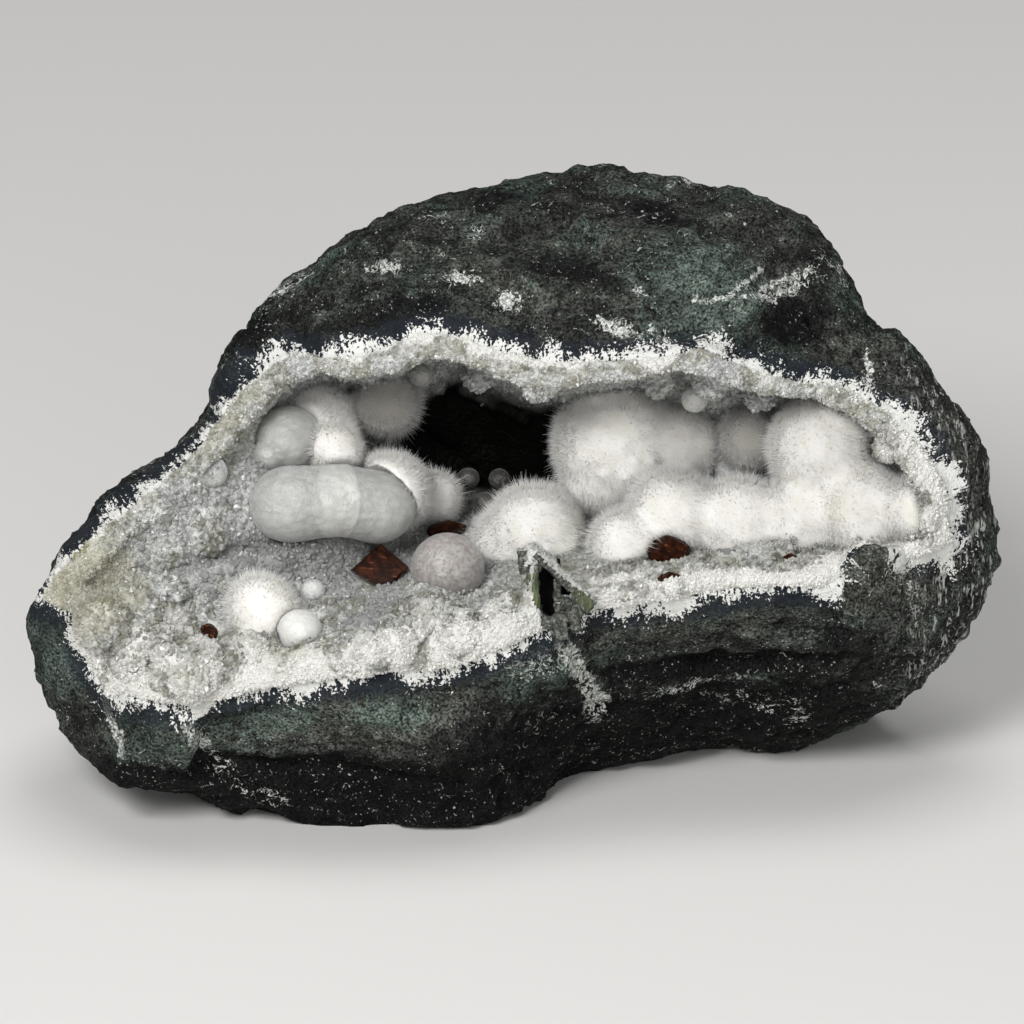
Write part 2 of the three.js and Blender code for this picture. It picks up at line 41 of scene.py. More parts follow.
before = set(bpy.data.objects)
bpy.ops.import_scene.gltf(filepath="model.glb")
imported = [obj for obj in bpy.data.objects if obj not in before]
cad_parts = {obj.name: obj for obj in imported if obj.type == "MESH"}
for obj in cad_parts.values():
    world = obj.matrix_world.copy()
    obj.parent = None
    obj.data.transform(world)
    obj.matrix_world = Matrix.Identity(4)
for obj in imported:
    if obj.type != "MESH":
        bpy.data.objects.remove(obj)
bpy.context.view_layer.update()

# The stone's own frame, in mm: x across, y up along the mouth, z out of the mouth. It leans back in the world.
LEAN = math.radians(22)
LEAN_SIN, LEAN_COS = math.sin(LEAN), math.cos(LEAN)
STAND = np.array([-0.250, -2.704, 48.9])
# How far the rim of the crust is looked for, in metres, and the smallest seam that counts as one.
RIM_REACH = 0.02
SAME_POINT = 1e-6
FULL_TURN = 6.283
# Depths in the stone's frame, in mm: the cast's backs, the floor of its hollow, and where the bank's end starts.
CAST_BACK, CAST_FLOOR, BANK_END = 11, 14, 61.5
# How far behind its front the brown rhomb reaches, in mm.
RHOMB_DEPTH = 9
# How far a mark reaches, as a share of its half width.
MARK_REACH = 1.6
# In metres: how far the rock's edge stands up at the crust, the part of the foot that stays flat, the shortest fibre.
RIM_LIP, FOOT, SHORTEST_FIBRE = 0.0007, 0.0012, 0.0003
# How strongly creases are evened out, how many fibres are strays, and how many one piece holds at most.
STRONG, STRAY_SHARE, FIBRES_A_PIECE = 0.8, 0.06, 49000
# The camera's sensor in mm, and how far its aim lies under the stone's middle, in metres.
SENSOR, CAMERA_DROP = 36, 0.00198
# Where the three heights that turn a facet of broken rock are taken, from the facet's middle.
FACET_SHIFTS = (Vector((9.3, -1.5, -8.0)), Vector((0, 0, 0)), Vector((6.3, 0.2, -2.7)))
# The puffballs, and how much painted shade darkens each.
PUFFBALL_NODES = {
    "okenite_bank": 0, "okenite_great_ball": 0, "okenite_front_ball": 0, "okenite_left_group": 0,
    "okenite_corner_pair": 0, "okenite_roof_ball": 0.82, "okenite_back_ball": 0.75, "okenite_floor_ball": 0,
}
# Where painted shade darkens the puffballs, towards a warm dark: x, y, half width, half height in mm, turn, strength.
PAINTED_SHADE_MARKS = (
    (29.5, 9, 5, 6, 0, 0.42), (50, 9, 9, 7, -20, 0.22), (20, 11, 9, 8, 0, 0.12),
    (-26, 17, 4, 3.5, 0, 0.25), (-14, 0, 3.5, 5, 0, 0.1), (58, 2, 8, 6, 0, 0.2),
    (47, -1, 9, 5, 0, 0.12),
)
# The edge of the mouth: x and y in mm.
MOUTH = (
    (-77.5, -16.5), (-72, -18.5), (-70, -26), (-66, -32), (-57, -33), (-51, -33.5), (-43, -31), (-30, -29),
    (-18, -28), (-9, -27), (0, -23.5), (6, -21), (13, -18), (31, -15.5), (43, -14), (51, -14.5), (54, -13.5),
    (54.3, -8.3), (63.7, -8.3), (64, -10), (72, -7), (71, 2), (67, 9), (60.5, 15), (54, 18.5), (45, 19.5), (37, 22),
    (31, 24.5), (22, 23), (6, 22.5), (-2, 24.5), (-9, 27), (-15, 27.5), (-22, 24.5), (-29, 23), (-35, 24), (-41, 21),
    (-46, 16), (-51.5, 8.5), (-58, 2), (-66, -4), (-74, -11.5),
)
BROWN_NODES = ("brown_rhomb", "brown_cluster", "brown_blade",
               "brown_chip_left", "brown_chip_middle", "brown_chip_right")
# Balls of each gyrolite node: x, y and radius in mm of the stone's frame.
GYROLITE_BALLS = {
    "gyrolite_trio": ((-36.3, -0.5, 7), (-27.8, 0.2, 6.3), (-22.4, -1, 6.6)),
    "gyrolite_left_pair": ((-37, 9.9, 5.9), (-39.8, 7.6, 3)),
    "gyrolite_centre_ball": ((-10.6, -11.2, 6.1),),
    "gyrolite_small_ball": ((-32.7, -15, 2.1),),
    "gyrolite_front_pair": ((-34.7, -21.5, 3.8), (-41.3, -23.6, 3.1)),
    "gyrolite_edge_ball": ((-49.3, 4.6, 2.7),),
    "gyrolite_roof_ball": ((30.2, 16.7, 2.3),),
    "gyrolite_back_ball": ((35.8, 5.2, 2.3),),
    "gyrolite_roof_pair": ((-18.8, 20.1, 1.9), (-15, 20.6, 2)),
    "gyrolite_deep_ball_1": ((-7.3, 3.6, 1.9),),
    "gyrolite_deep_ball_2": ((-2.1, 3.6, 1.8),),
    "gyrolite_deep_ball_3": ((-4.5, -0.5, 2),),
}
# How milky some of them are, and how much painted shade darkens the ones in the pocket and under the roof.
GYROLITE_TONES = {
    "gyrolite_front_pair": (0.9, 0), "gyrolite_small_ball": (0.9, 0), "gyrolite_edge_ball": (0.3, 0),
    "gyrolite_deep_ball_1": (0, 0.97), "gyrolite_deep_ball_2": (0, 0.97), "gyrolite_deep_ball_3": (0, 0.93),
    "gyrolite_back_ball": (0.5, 0), "gyrolite_roof_ball": (0.7, 0), "gyrolite_roof_pair": (0, 0.5),
}
# The brown rhomb's corners, by their side of a cube's face: x, y and how far each stands behind its front, in mm.
RHOMB_CORNERS = {(False, True): (-22.4, -7.7, 3.4), (True, True): (-17.6, -11.6, 1.8),
                 (True, False): (-21, -15.4, -0.2), (False, False): (-26.8, -11.6, 1.6)}
# Its two slabs: shift across, up and back in mm, and how much narrower the front is than the back.
RHOMB_SLABS = ((0, 0, 0, 0.93), (0.7, 0.5, 1.1, 0.97))
# Marks on the basalt's face: x, y, half width, half height in mm, turn in degrees, strength.
WHITE_MARKS = (
    (-21.8, 39.6, 3.3, 0.9, 5, 0.9), (-8.2, 36.8, 2.9, 1.3, 0, 0.9), (-0.8, 32.8, 2.1, 1.8, -40, 1),
    (17, 28.5, 4.1, 1.3, -15, 1), (14.9, 54.1, 3.4, 1.3, -10, 1), (-11.9, 48.7, 5.8, 1.6, 12, 0.8),
    (26.4, 24.8, 4.5, 2, -35, 0.9), (35.1, 48.7, 4.1, 1.5, -25, 0.8), (45, 35.8, 7.4, 1.6, 22, 0.8),
    (59.4, 23.6, 0.5, 3.2, 12, 1), (29.4, -30.5, 6.6, 0.9, 8, 0.8), (3, -27, 4, 3, 20, 0.6),
    (66, -14, 1.2, 6, 10, 0.6), (57, -4, 1, 5, -12, 0.5), (-6, 44, 1.6, 0.8, 30, 0.7),
    (21, 34.5, 1.6, 0.8, -20, 0.8), (5, 48, 1.3, 0.6, 10, 0.6),
)
TEAL_MARKS = (
    (31, 33, 9.9, 8.3, 25, 1), (-42.4, -33.8, 10.7, 5, 0, 1), (-74.6, -26, 5.5, 5, -30, 1),
    (44.2, 24.8, 4, 3.6, 0, 0.9), (3, -28, 6.5, 4.5, 20, 0.9), (-20, -34, 7, 3.5, 0, 0.7),
    (12, 44, 5, 3, 0, 0.5), (56, 33, 6, 3, -40, 0.6), (-62, -38, 5, 5, 0, 0.7),
    (-75, -23, 5, 5, 0, 1.2),
)
# Dark places of the rock, and painted shade by the grooves, under the ledges and at the bottom.
DARK_AND_SHADE_MARKS = (
    (33, -27.4, 19, 1.7, 5, 1), (-17, 31, 6, 4, 20, 0.7), (9, 39, 7, 3, -15, 0.7),
    (46, 29, 6, 4, 20, 0.8), (-44, 27, 7, 4, 40, 0.7), (-30, -52, 24, 4.5, 0, 0.8),
    (24, 47, 4, 2, -20, 0.7), (30, -37, 30, 5.5, 5, 1.3), (-2, 50, 6, 2.2, 15, 0.6),
    (54, -27, 11, 5, 12, 0.6), (-66, 5, 14, 3, 40, 0.7), (-10, -47, 10, 4, 0, 0.9),
)
# Paler places of the face, partly painted light on ledge tops and facets that face the lamps.
LIGHT_MARKS = (
    (59.8, -13.6, 5.8, 4.8, 8, 1.8), (60, 14, 7, 13, 35, 0.7), (-24, -36.5, 20, 4.5, 8, 0.7),
    (66, -16, 4, 9, 10, 0.6), (30, -19.5, 20, 3, 8, 0.6), (4, 38, 20, 9, 5, 0.5),
    (34, 36, 11, 9, 20, 0.6), (-68, -27, 7, 7, -40, 0.6),
)
# Grooves under the ledges of the basalt's face; the last number is the depth in mm.
GROOVES = (
    (38, -26.3, 15, 1.2, 4, 2.2), (52, -20, 9, 0.8, 12, 1.2), (30, -33.5, 22, 1.3, 6, 1.8),
    (-30, -45, 20, 1, -4, 1.4), (64.5, -18, 0.9, 8, 4, 1.2), (35, 36, 0.9, 7, -38, 1.2),
    (52, 28, 0.9, 10, 22, 1.2), (-24, 37.5, 6, 0.6, 12, 1.2), (-36, 30, 0.9, 6, 30, 1.2),
)
# Plates and steps of the hollow cast: middle x, y, half width, half height, turn, front z, and how green.
CAST_BLOCKS = (
    (5.6, -14.6, 2.2, 4.9, 0, 14.5, 0), (7.9, -15.4, 3.6, 2.6, -42, 14.5, 0), (3.4, -15.4, 0.95, 4.9, 1, 22, 0.8),
    (2.9, -9.9, 1.7, 1.9, 8, 21.4, 0.3), (8, -12.4, 5.6, 0.85, -42, 22.4, 0.1),
    (11.6, -16.4, 1.9, 1.2, -42, 22.5, 0.7),
    (7.4, -14.8, 0.6, 1.7, 3, 18.4, 0), (9.3, -16.9, 1.1, 1.1, -10, 19.4, 0.1), (7.8, -17.6, 0.9, 0.7, 6, 18.6, 0),
    (5.6, -20, 1.9, 1, -4, 22.5, 0.15), (8, -20.8, 1.1, 2.1, 5, 22.8, 0.35), (10.2, -19.8, 0.8, 1.8, 12, 22.4, 0.2),
    (10.6, -17.9, 1, 0.9, -20, 22, 0.3),
)
# The cast's hollow in the crust: x, y, half width, half height in mm, turn, strength.
CAST_HOLLOW = ((6.4, -14.8, 2.7, 5.2, 6, 1), (8.6, -16.6, 3.4, 2, -38, 1))
# The cast's place, where the crust stays plain, where no grains sit by it, and the sugary edge of its plate.
CAST_PLACE, CAST_SEATS, CAST_SUGAR = (8, -15.5, 6.5, 7.5, 0, 1), (6, -13, 8, 8, 0, 2), (7.6, -11, 6, 0.7, -42, 1)
# The pocket behind the left balls, where painted shade darkens the crust.
POCKET = (-3, 11, 15, 9, 0, 1.7)
# White lumps on the crust: x, y, radius and height in mm.
LUMPS = (
    (-13.5, -19, 4.6, 2.6), (-9, -21.5, 3.4, 1.8), (-18.5, -23.5, 3.2, 1.6), (-24.5, -25, 3, 1.5),
    (-43, -24, 3.2, 2), (-52, -27, 5, 2), (-60, -25, 5, 2.2), (-67, -20, 4.2, 1.8),
    (-55, -20, 3.6, 1.6), (-2, -17, 3, 1.4), (-59, -15, 3, 1.2), (-50, -6, 3.4, 1.2),
    (-56, -9, 3, 1.2), (-47, -13, 2.6, 0.9),
)
# White veins on the basalt's face: half width in mm, then the points that each runs through.
VEINS = (
    (1.5, ((8, -23), (10, -27), (13, -31), (14.5, -36), (12.5, -39.5))),
    (0.8, ((13, -31), (16.5, -34))),
    (1.1, ((-53.5, -33), (-52.5, -38), (-49, -43.5), (-43, -48), (-37, -49.5))),
    (0.8, ((-67, -30), (-66, -36), (-63, -41))),
    (0.5, ((41, 38), (35.5, 33.5), (29.5, 33))),
)
# Parts of the crust: x, y, half width, half height in mm, turn, strength.
CREAM_MARKS = (
    (-70, -15, 10, 8, 30, 0.9), (-56, -26, 12, 7, -30, 0.4), (-48, 13, 10, 4, 40, 0.6),
    (-38, -24, 6, 4, 0, 0.5), (-62, 2, 8, 3, 40, 0.7),
)
GREEN_MARKS = (
    (-71.5, -8.5, 2.6, 1, 35, 1), (-66, -17, 2, 1.2, 0, 0.5),
)
GREY_MARKS = (
    (-32, -8.5, 18, 4.5, 0, 0.9), (-24, -17, 7, 4, 20, 0.8), (-48, -12, 7, 5, 0, 0.5),
    (10, -17, 4.5, 5, -30, 0.9), (-18, -10, 6, 4, 0, 0.6), (36, 9, 8, 5, 0, 0.6),
)


# ---- the stone's frame and its surfaces

def to_stone(points):
    """World metres to mm of the stone's frame."""
    x, y, z = (np.asarray(points, float) * 1000 - STAND).T
    return np.column_stack((x, y * LEAN_SIN + z * LEAN_COS, z * LEAN_SIN - y * LEAN_COS))


def to_world(points):
    """Mm of the stone's frame to world metres."""
    x, y, z = np.asarray(points, float).T
    return (np.column_stack((x, y * LEAN_SIN - z * LEAN_COS, y * LEAN_COS + z * LEAN_SIN)) + STAND) / 1000


# Upwards along the mouth and out of it, in the world.
MOUTH_UP, MOUTH_OUT = np.array([0, LEAN_SIN, LEAN_COS]), np.array([0, -LEAN_COS, LEAN_SIN])


def read_threes(items, key, kind=np.float32):
    values = np.empty(len(items) * 3, kind)
    items.foreach_get(key, values)
    return values.reshape(-1, 3)


def points_of(mesh):
    return read_threes(mesh.vertices, "co").astype(float)


def normals_of(mesh):
    return read_threes(mesh.vertex_normals, "vector").astype(float)


def triangles_of(mesh):
    mesh.calc_loop_triangles()
    return read_threes(mesh.loop_triangles, "vertices", np.int32)


def move_points(mesh, points):
    mesh.vertices.foreach_set("co", np.asarray(points, np.float32).ravel())
    mesh.update()


def cad_surface(*nodes):
    """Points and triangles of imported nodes, taken together."""
    points, faces, start = [], [], 0
    for name in nodes:
        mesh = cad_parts[name].data
        points.append(points_of(mesh))
        faces.append(triangles_of(mesh) + start)
        start += len(mesh.vertices)
    return np.vstack(points), np.vstack(faces)


def tree_of(points, faces):
    return BVHTree.FromPolygons(points.tolist(), faces.tolist())


def cad_tree(*nodes):
    return tree_of(*cad_surface(*nodes))


def distances(tree, points, limit):
    """How far each point is from the tree's surface, up to limit, in metres."""
    found = (tree.find_nearest(p, limit)[3] for p in points.tolist())
    return np.array([limit if d is None else d for d in found])


def along_mouth(points):
    """How far round the mouth's edge the nearest part of it is, in mm, for points in mm."""
    corners = np.array(MOUTH)
    best, course, run = np.full(len(points), 1e9), np.zeros(len(points)), 0.0
    for a, b in zip(corners, np.roll(corners, -1, axis=0)):
        step = np.hypot(*(b - a))
        t = clamped(((points[:, :2] - a) @ (b - a)) / step**2)
        away = np.hypot(*(points[:, :2] - a - t[:, None] * (b - a)).T)
        nearer = away < best
        best[nearer], course[nearer] = away[nearer], (run + t * step)[nearer]
        run += step
    return course


def clamped(values):
    return np.clip(values, 0, 1)


def ramp_up(values, low, high):
    """0 below low, 1 above high, and smooth between."""
    t = clamped((np.asarray(values, float) - low) / (high - low))
    return t * t * (3 - 2 * t)


# ---- random heights, all seeded by place

def cloudy(points, size, seed, octaves=3):
    """Smooth heights about -1 to 1, with bumps about size mm across."""
    shift = Vector((seed * 17.3, seed * -9.1, seed * 5.7))
    return np.array([noise.fractal(Vector(p) / size + shift, 0.9, 2.1, octaves) for p in points.tolist()])


def facet_turn(place):
    """How a facet leans, drawn from its place: three steady heights, taken a little apart."""
    return Vector([noise.noise(place + shift) for shift in FACET_SHIFTS])


def chipped(points, size, seed):
    """Heights of rock broken in flat facets about size mm across, steep where two meet."""
    shift = Vector((seed * 13.7, seed * 4.1, seed * -8.3))
    heights = []
    for p in points.tolist():
        at = Vector(p) / size + shift
        (d1, d2, _, _), (c1, c2, _, _) = noise.voronoi(at)
        h1 = (at - c1).dot(facet_turn(c1 * 7.31)) + 0.5 * noise.noise(c1 * 3.7)
        h2 = (at - c2).dot(facet_turn(c2 * 7.31)) + 0.5 * noise.noise(c2 * 3.7)
        t = min(1.0, (d2 - d1) / 0.09)
        heights.append(h1 * (0.5 + 0.5 * t) + h2 * (0.5 - 0.5 * t))
    return np.array(heights)


def rounded(points, size, seed):
    """Heights of grown-together rounded bumps about size mm across, 0 in the creases and 1 on top."""
    shift = Vector((seed * 3.3, seed * 11.9, seed * -6.7))
    return np.array([1 - min(1.0, noise.voronoi(Vector(p) / size + shift)[0][0]) ** 2 for p in points.tolist()])


def marked(points, marks):
    """How strongly each point, in mm, lies in one of the marks."""
    result = np.zeros(len(points))
    for x, y, half_width, half_height, turn, strength in marks:
        c, s = math.cos(math.radians(turn)), math.sin(math.radians(turn))
        u, v = points[:, 0] - x, points[:, 1] - y
        r = np.hypot((u * c + v * s) / half_width, (v * c - u * s) / half_height)
        result = np.maximum(result, strength * clamped(MARK_REACH - r))
    return result


def veined(points, veins):
    """How near each point, in mm, is to the middle of a vein."""
    result = np.zeros(len(points))
    for half_width, path in veins:
        for (ax, ay), (bx, by) in zip(path, path[1:]):
            along = np.array([bx - ax, by - ay])
            t = clamped(((points[:, 0] - ax) * along[0] + (points[:, 1] - ay) * along[1]) / (along @ along))
            r = np.hypot(points[:, 0] - ax - t * along[0], points[:, 1] - ay - t * along[1]) / half_width
            result = np.maximum(result, clamped(MARK_REACH - r))
    return result


def shaded(world, dim):
    """How much painted shade darkens the okenite at each point."""
    return clamped(np.maximum(marked(to_stone(world), PAINTED_SHADE_MARKS), dim))


# ---- making pieces

def linked(name, data):
    """A new object in the scene."""
    made = bpy.data.objects.new(name, data)
    bpy.context.scene.collection.objects.link(made)
    return made


def mesh_from(name, points, faces):
    """A mesh of triangles from arrays."""
    mesh = bpy.data.meshes.new(name)
    mesh.vertices.add(len(points))
    mesh.vertices.foreach_set("co", np.asarray(points, np.float32).ravel())
    mesh.loops.add(len(faces) * 3)
    mesh.loops.foreach_set("vertex_index", np.asarray(faces, np.int32).ravel())
    mesh.polygons.add(len(faces))
    mesh.polygons.foreach_set("loop_start", np.arange(0, len(faces) * 3, 3, dtype=np.int32))
    mesh.update(calc_edges=True)
    return mesh


def placed(name, mesh, material, replaces=(), smooth=True):
    """The finished piece: it rides on the stone and stands for the nodes it replaces."""
    piece = linked(name, mesh)
    mesh.materials.clear()
    mesh.materials.append(material)
    mesh.polygons.foreach_set("use_smooth", np.full(len(mesh.polygons), smooth))
    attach(piece, "root")
    if replaces:
        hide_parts(*replaces)
    return piece


def note(mesh, **numbers):
    """Keeps a number, or three, at each point for the material to read."""
    for name, values in numbers.items():
        values = np.column_stack(values) if isinstance(values, tuple) else values
        kind, key = ("FLOAT_VECTOR", "vector") if values.ndim == 2 else ("FLOAT", "value")
        mesh.attributes.new(name, kind, "POINT").data.foreach_set(key, values.astype(np.float32).ravel())


def refined(name, points, faces, voxel):
    """The closed surface as an even mesh with cells of voxel metres."""
    work = bmesh.new()
    rough = bpy.data.meshes.new(name + "_rough")
    rough.from_pydata(points.tolist(), [], faces.tolist())
    work.from_mesh(rough)
    bmesh.ops.remove_doubles(work, verts=work.verts, dist=SAME_POINT)
    work.to_mesh(rough)
    work.free()
    holder = linked(name + "_rough", rough)
    remesh = holder.modifiers.new("Even", "REMESH")
    remesh.mode = "VOXEL"
    remesh.voxel_size = voxel
    graph = bpy.context.evaluated_depsgraph_get()
    mesh = bpy.data.meshes.new_from_object(holder.evaluated_get(graph))
    mesh.name = name
    bpy.data.objects.remove(holder)
    bpy.data.meshes.remove(rough)
    return mesh


def smoothed(mesh, rounds, chosen=None, factor=0.5):
    """Evens out the mesh, or only its chosen points, such as those of a crease."""
    work = bmesh.new()
    work.from_mesh(mesh)
    work.verts.ensure_lookup_table()
    verts = work.verts if chosen is None else [work.verts[i] for i in np.flatnonzero(chosen)]
    for _ in range(rounds):
        bmesh.ops.smooth_vert(work, verts=verts, factor=factor, use_axis_x=True, use_axis_y=True, use_axis_z=True)
    work.to_mesh(mesh)
    work.free()
    return mesh


def arrays_of(work):
    """Points and triangles of a bmesh, which is then freed."""
    mesh = bpy.data.meshes.new("rough")
    work.to_mesh(mesh)
    work.free()
    points, faces = points_of(mesh), triangles_of(mesh)
    bpy.data.meshes.remove(mesh)
    return points, faces


def closed_shape(work):
    """Points and triangles of a small shape whose seams are still open."""
    bmesh.ops.remove_doubles(work, verts=work.verts, dist=SAME_POINT)
    bmesh.ops.triangulate(work, faces=work.faces)
    bmesh.ops.recalc_face_normals(work, faces=work.faces)
    return arrays_of(work)


def spike(sides):
    """A closed cone of radius 1 that stands on z = 0 and is 1 high."""
    work = bmesh.new()
    bmesh.ops.create_cone(work, cap_ends=True, segments=sides, radius1=1, radius2=0, depth=1)
    bmesh.ops.translate(work, verts=work.verts, vec=(0, 0, 0.5))
    return closed_shape(work)


def quartz_grain(sides):
    """A stubby crystal with a blunt point at both ends, of radius 1, standing on z = 0 and 1 high."""
    work = bmesh.new()
    for height, low, high in ((0.25, 0, 1), (0.75, 1, 0)):
        cone = bmesh.ops.create_cone(work, cap_ends=False, segments=sides, radius1=low, radius2=high, depth=0.5)
        bmesh.ops.translate(work, verts=cone["verts"], vec=(0, 0, height))
    return closed_shape(work)


def copies(shape, places, axes, radii, lengths, chance):
    """Many copies of a small shape as one set of arrays: one at each place, along its axis, with a random twist."""
    points, faces = shape
    axes = axes / np.linalg.norm(axes, axis=1)[:, None]
    helper = np.where(np.abs(axes[:, 2:3]) < 0.9, [[0.0, 0.0, 1.0]], [[1.0, 0.0, 0.0]])
    side = np.cross(helper, axes)
    side /= np.linalg.norm(side, axis=1)[:, None]
    other = np.cross(axes, side)
    twists = chance.uniform(0, FULL_TURN, len(places))[:, None]
    c, s = np.cos(twists), np.sin(twists)
    side, other = side * c + other * s, other * c - side * s
    radii, lengths = radii[:, None, None], lengths[:, None, None]
    made = (places[:, None] + points[:, 0:1] * side[:, None] * radii + points[:, 1:2] * other[:, None] * radii
            + points[:, 2:3] * axes[:, None] * lengths)
    joined = faces + (np.arange(len(places)) * len(points))[:, None, None]
    return made.reshape(-1, 3), joined.reshape(-1, 3)


def scattered(mesh, density, chance, weight=None):
    """Random places on a mesh, density a square mm times the weight at each point, with the smooth normal there."""
    points, faces, normals = points_of(mesh), triangles_of(mesh), normals_of(mesh)
    a, b, c = (points[faces[:, i]] for i in range(3))
    area = 0.5e6 * np.linalg.norm(np.cross(b - a, c - a), axis=1)
    if weight is not None:
        area = area * weight[faces].mean(axis=1)
    count = int(area.sum() * density)
    pick = chance.choice(len(faces), count, p=area / area.sum())
    u, v = chance.random(count), chance.random(count)
    flip = u + v > 1
    u[flip], v[flip] = 1 - u[flip], 1 - v[flip]
    shares = np.column_stack((1 - u - v, u, v))
    places = (points[faces[pick]] * shares[:, :, None]).sum(axis=1)
    away = (normals[faces[pick]] * shares[:, :, None]).sum(axis=1)
    return places, away / np.linalg.norm(away, axis=1)[:, None]


def strewn(axes, spread, chance):
    """The axes, each leant by a random amount."""
    leant = axes + chance.normal(0, spread, axes.shape)
    return leant / np.linalg.norm(leant, axis=1)[:, None]


# ---- material nodes

class Value:
    """A node's output that can be added to, taken from and multiplied."""

    def __init__(self, tree, socket):
        self.tree, self.socket = tree, socket

    def __add__(self, other):
        return reckoned("ADD", self, other)

    def __sub__(self, other):
        return reckoned("SUBTRACT", self, other)

    def __mul__(self, other):
        return reckoned("MULTIPLY", self, other)


def join(made, inputs):
    """Links or sets a node's inputs by name or number, with _ for a blank."""
    for key, value in inputs.items():
        socket = made.inputs[key.replace("_", " ") if isinstance(key, str) else key]
        if isinstance(value, Value):
            value.tree.links.new(value.socket, socket)
        else:
            socket.default_value = value


def node(tree, kind, inputs=None, output=0, **settings):
    """One output of a new node."""
    made = tree.nodes.new("ShaderNode" + kind)
    for key, value in settings.items():
        setattr(made, key, value)
    join(made, inputs or {})
    return Value(tree, made.outputs[output])


def reckoned(operation, first, second):
    return node(first.tree, "Math", {0: first, 1: second}, operation=operation)


def blend(amount, low, high, kind="MIX"):
    """Colours low and high, mixed by amount, where one of the three is a node's output."""
    tree = next(value.tree for value in (amount, low, high) if isinstance(value, Value))
    low, high = (value if isinstance(value, Value) else (*tuple(value)[:3], 1.0) for value in (low, high))
    return node(tree, "Mix", {0: amount, 6: low, 7: high}, 2, data_type="RGBA", blend_type=kind)


def between(value, low, high, start=0.0, end=1.0):
    """From start to end, smoothly, as the value goes from low to high."""
    return node(value.tree, "MapRange", {"Value": value, "From Min": low, "From Max": high, "To Min": start,
                                         "To Max": end}, interpolation_type="SMOOTHSTEP")


def clouds(at, scale, detail=4, rough=0.55, warp=0):
    return node(at.tree, "TexNoise", {"Vector": at, "Scale": scale, "Detail": detail, "Roughness": rough,
                                      "Distortion": warp}, "Fac")


def cells(at, scale):
    return node(at.tree, "TexVoronoi", {"Vector": at, "Scale": scale}, "Distance")


def stretched(at, x, y, z):
    return node(at.tree, "VectorMath", {0: at, 1: (x, y, z)}, operation="MULTIPLY")


def kept(at, name, output="Fac"):
    """What the mesh keeps under a name."""
    return node(at.tree, "Attribute", None, output, attribute_name=name)


def parts_of(vector):
    split = node(vector.tree, "SeparateXYZ", {0: vector}).socket.node
    return [Value(vector.tree, part) for part in split.outputs]


def raised(height, strength, distance):
    return node(height.tree, "Bump", {"Height": height, "Strength": strength, "Distance": distance}, "Normal")


def start_material(name):
    """A material, its shader, and the stone's frame in mm as coordinates."""
    material = bpy.data.materials.new(name)
    material.use_nodes = True
    tree = material.node_tree
    at = node(tree, "Mapping", {"Vector": node(tree, "TexCoord", None, "Object"), "Scale": (1000, 1000, 1000),
                                "Location": tuple(to_stone(np.zeros((1, 3)))[0]),
                                "Rotation": (LEAN - math.pi / 2, 0, 0)})
    return material, tree.nodes["Principled BSDF"], at


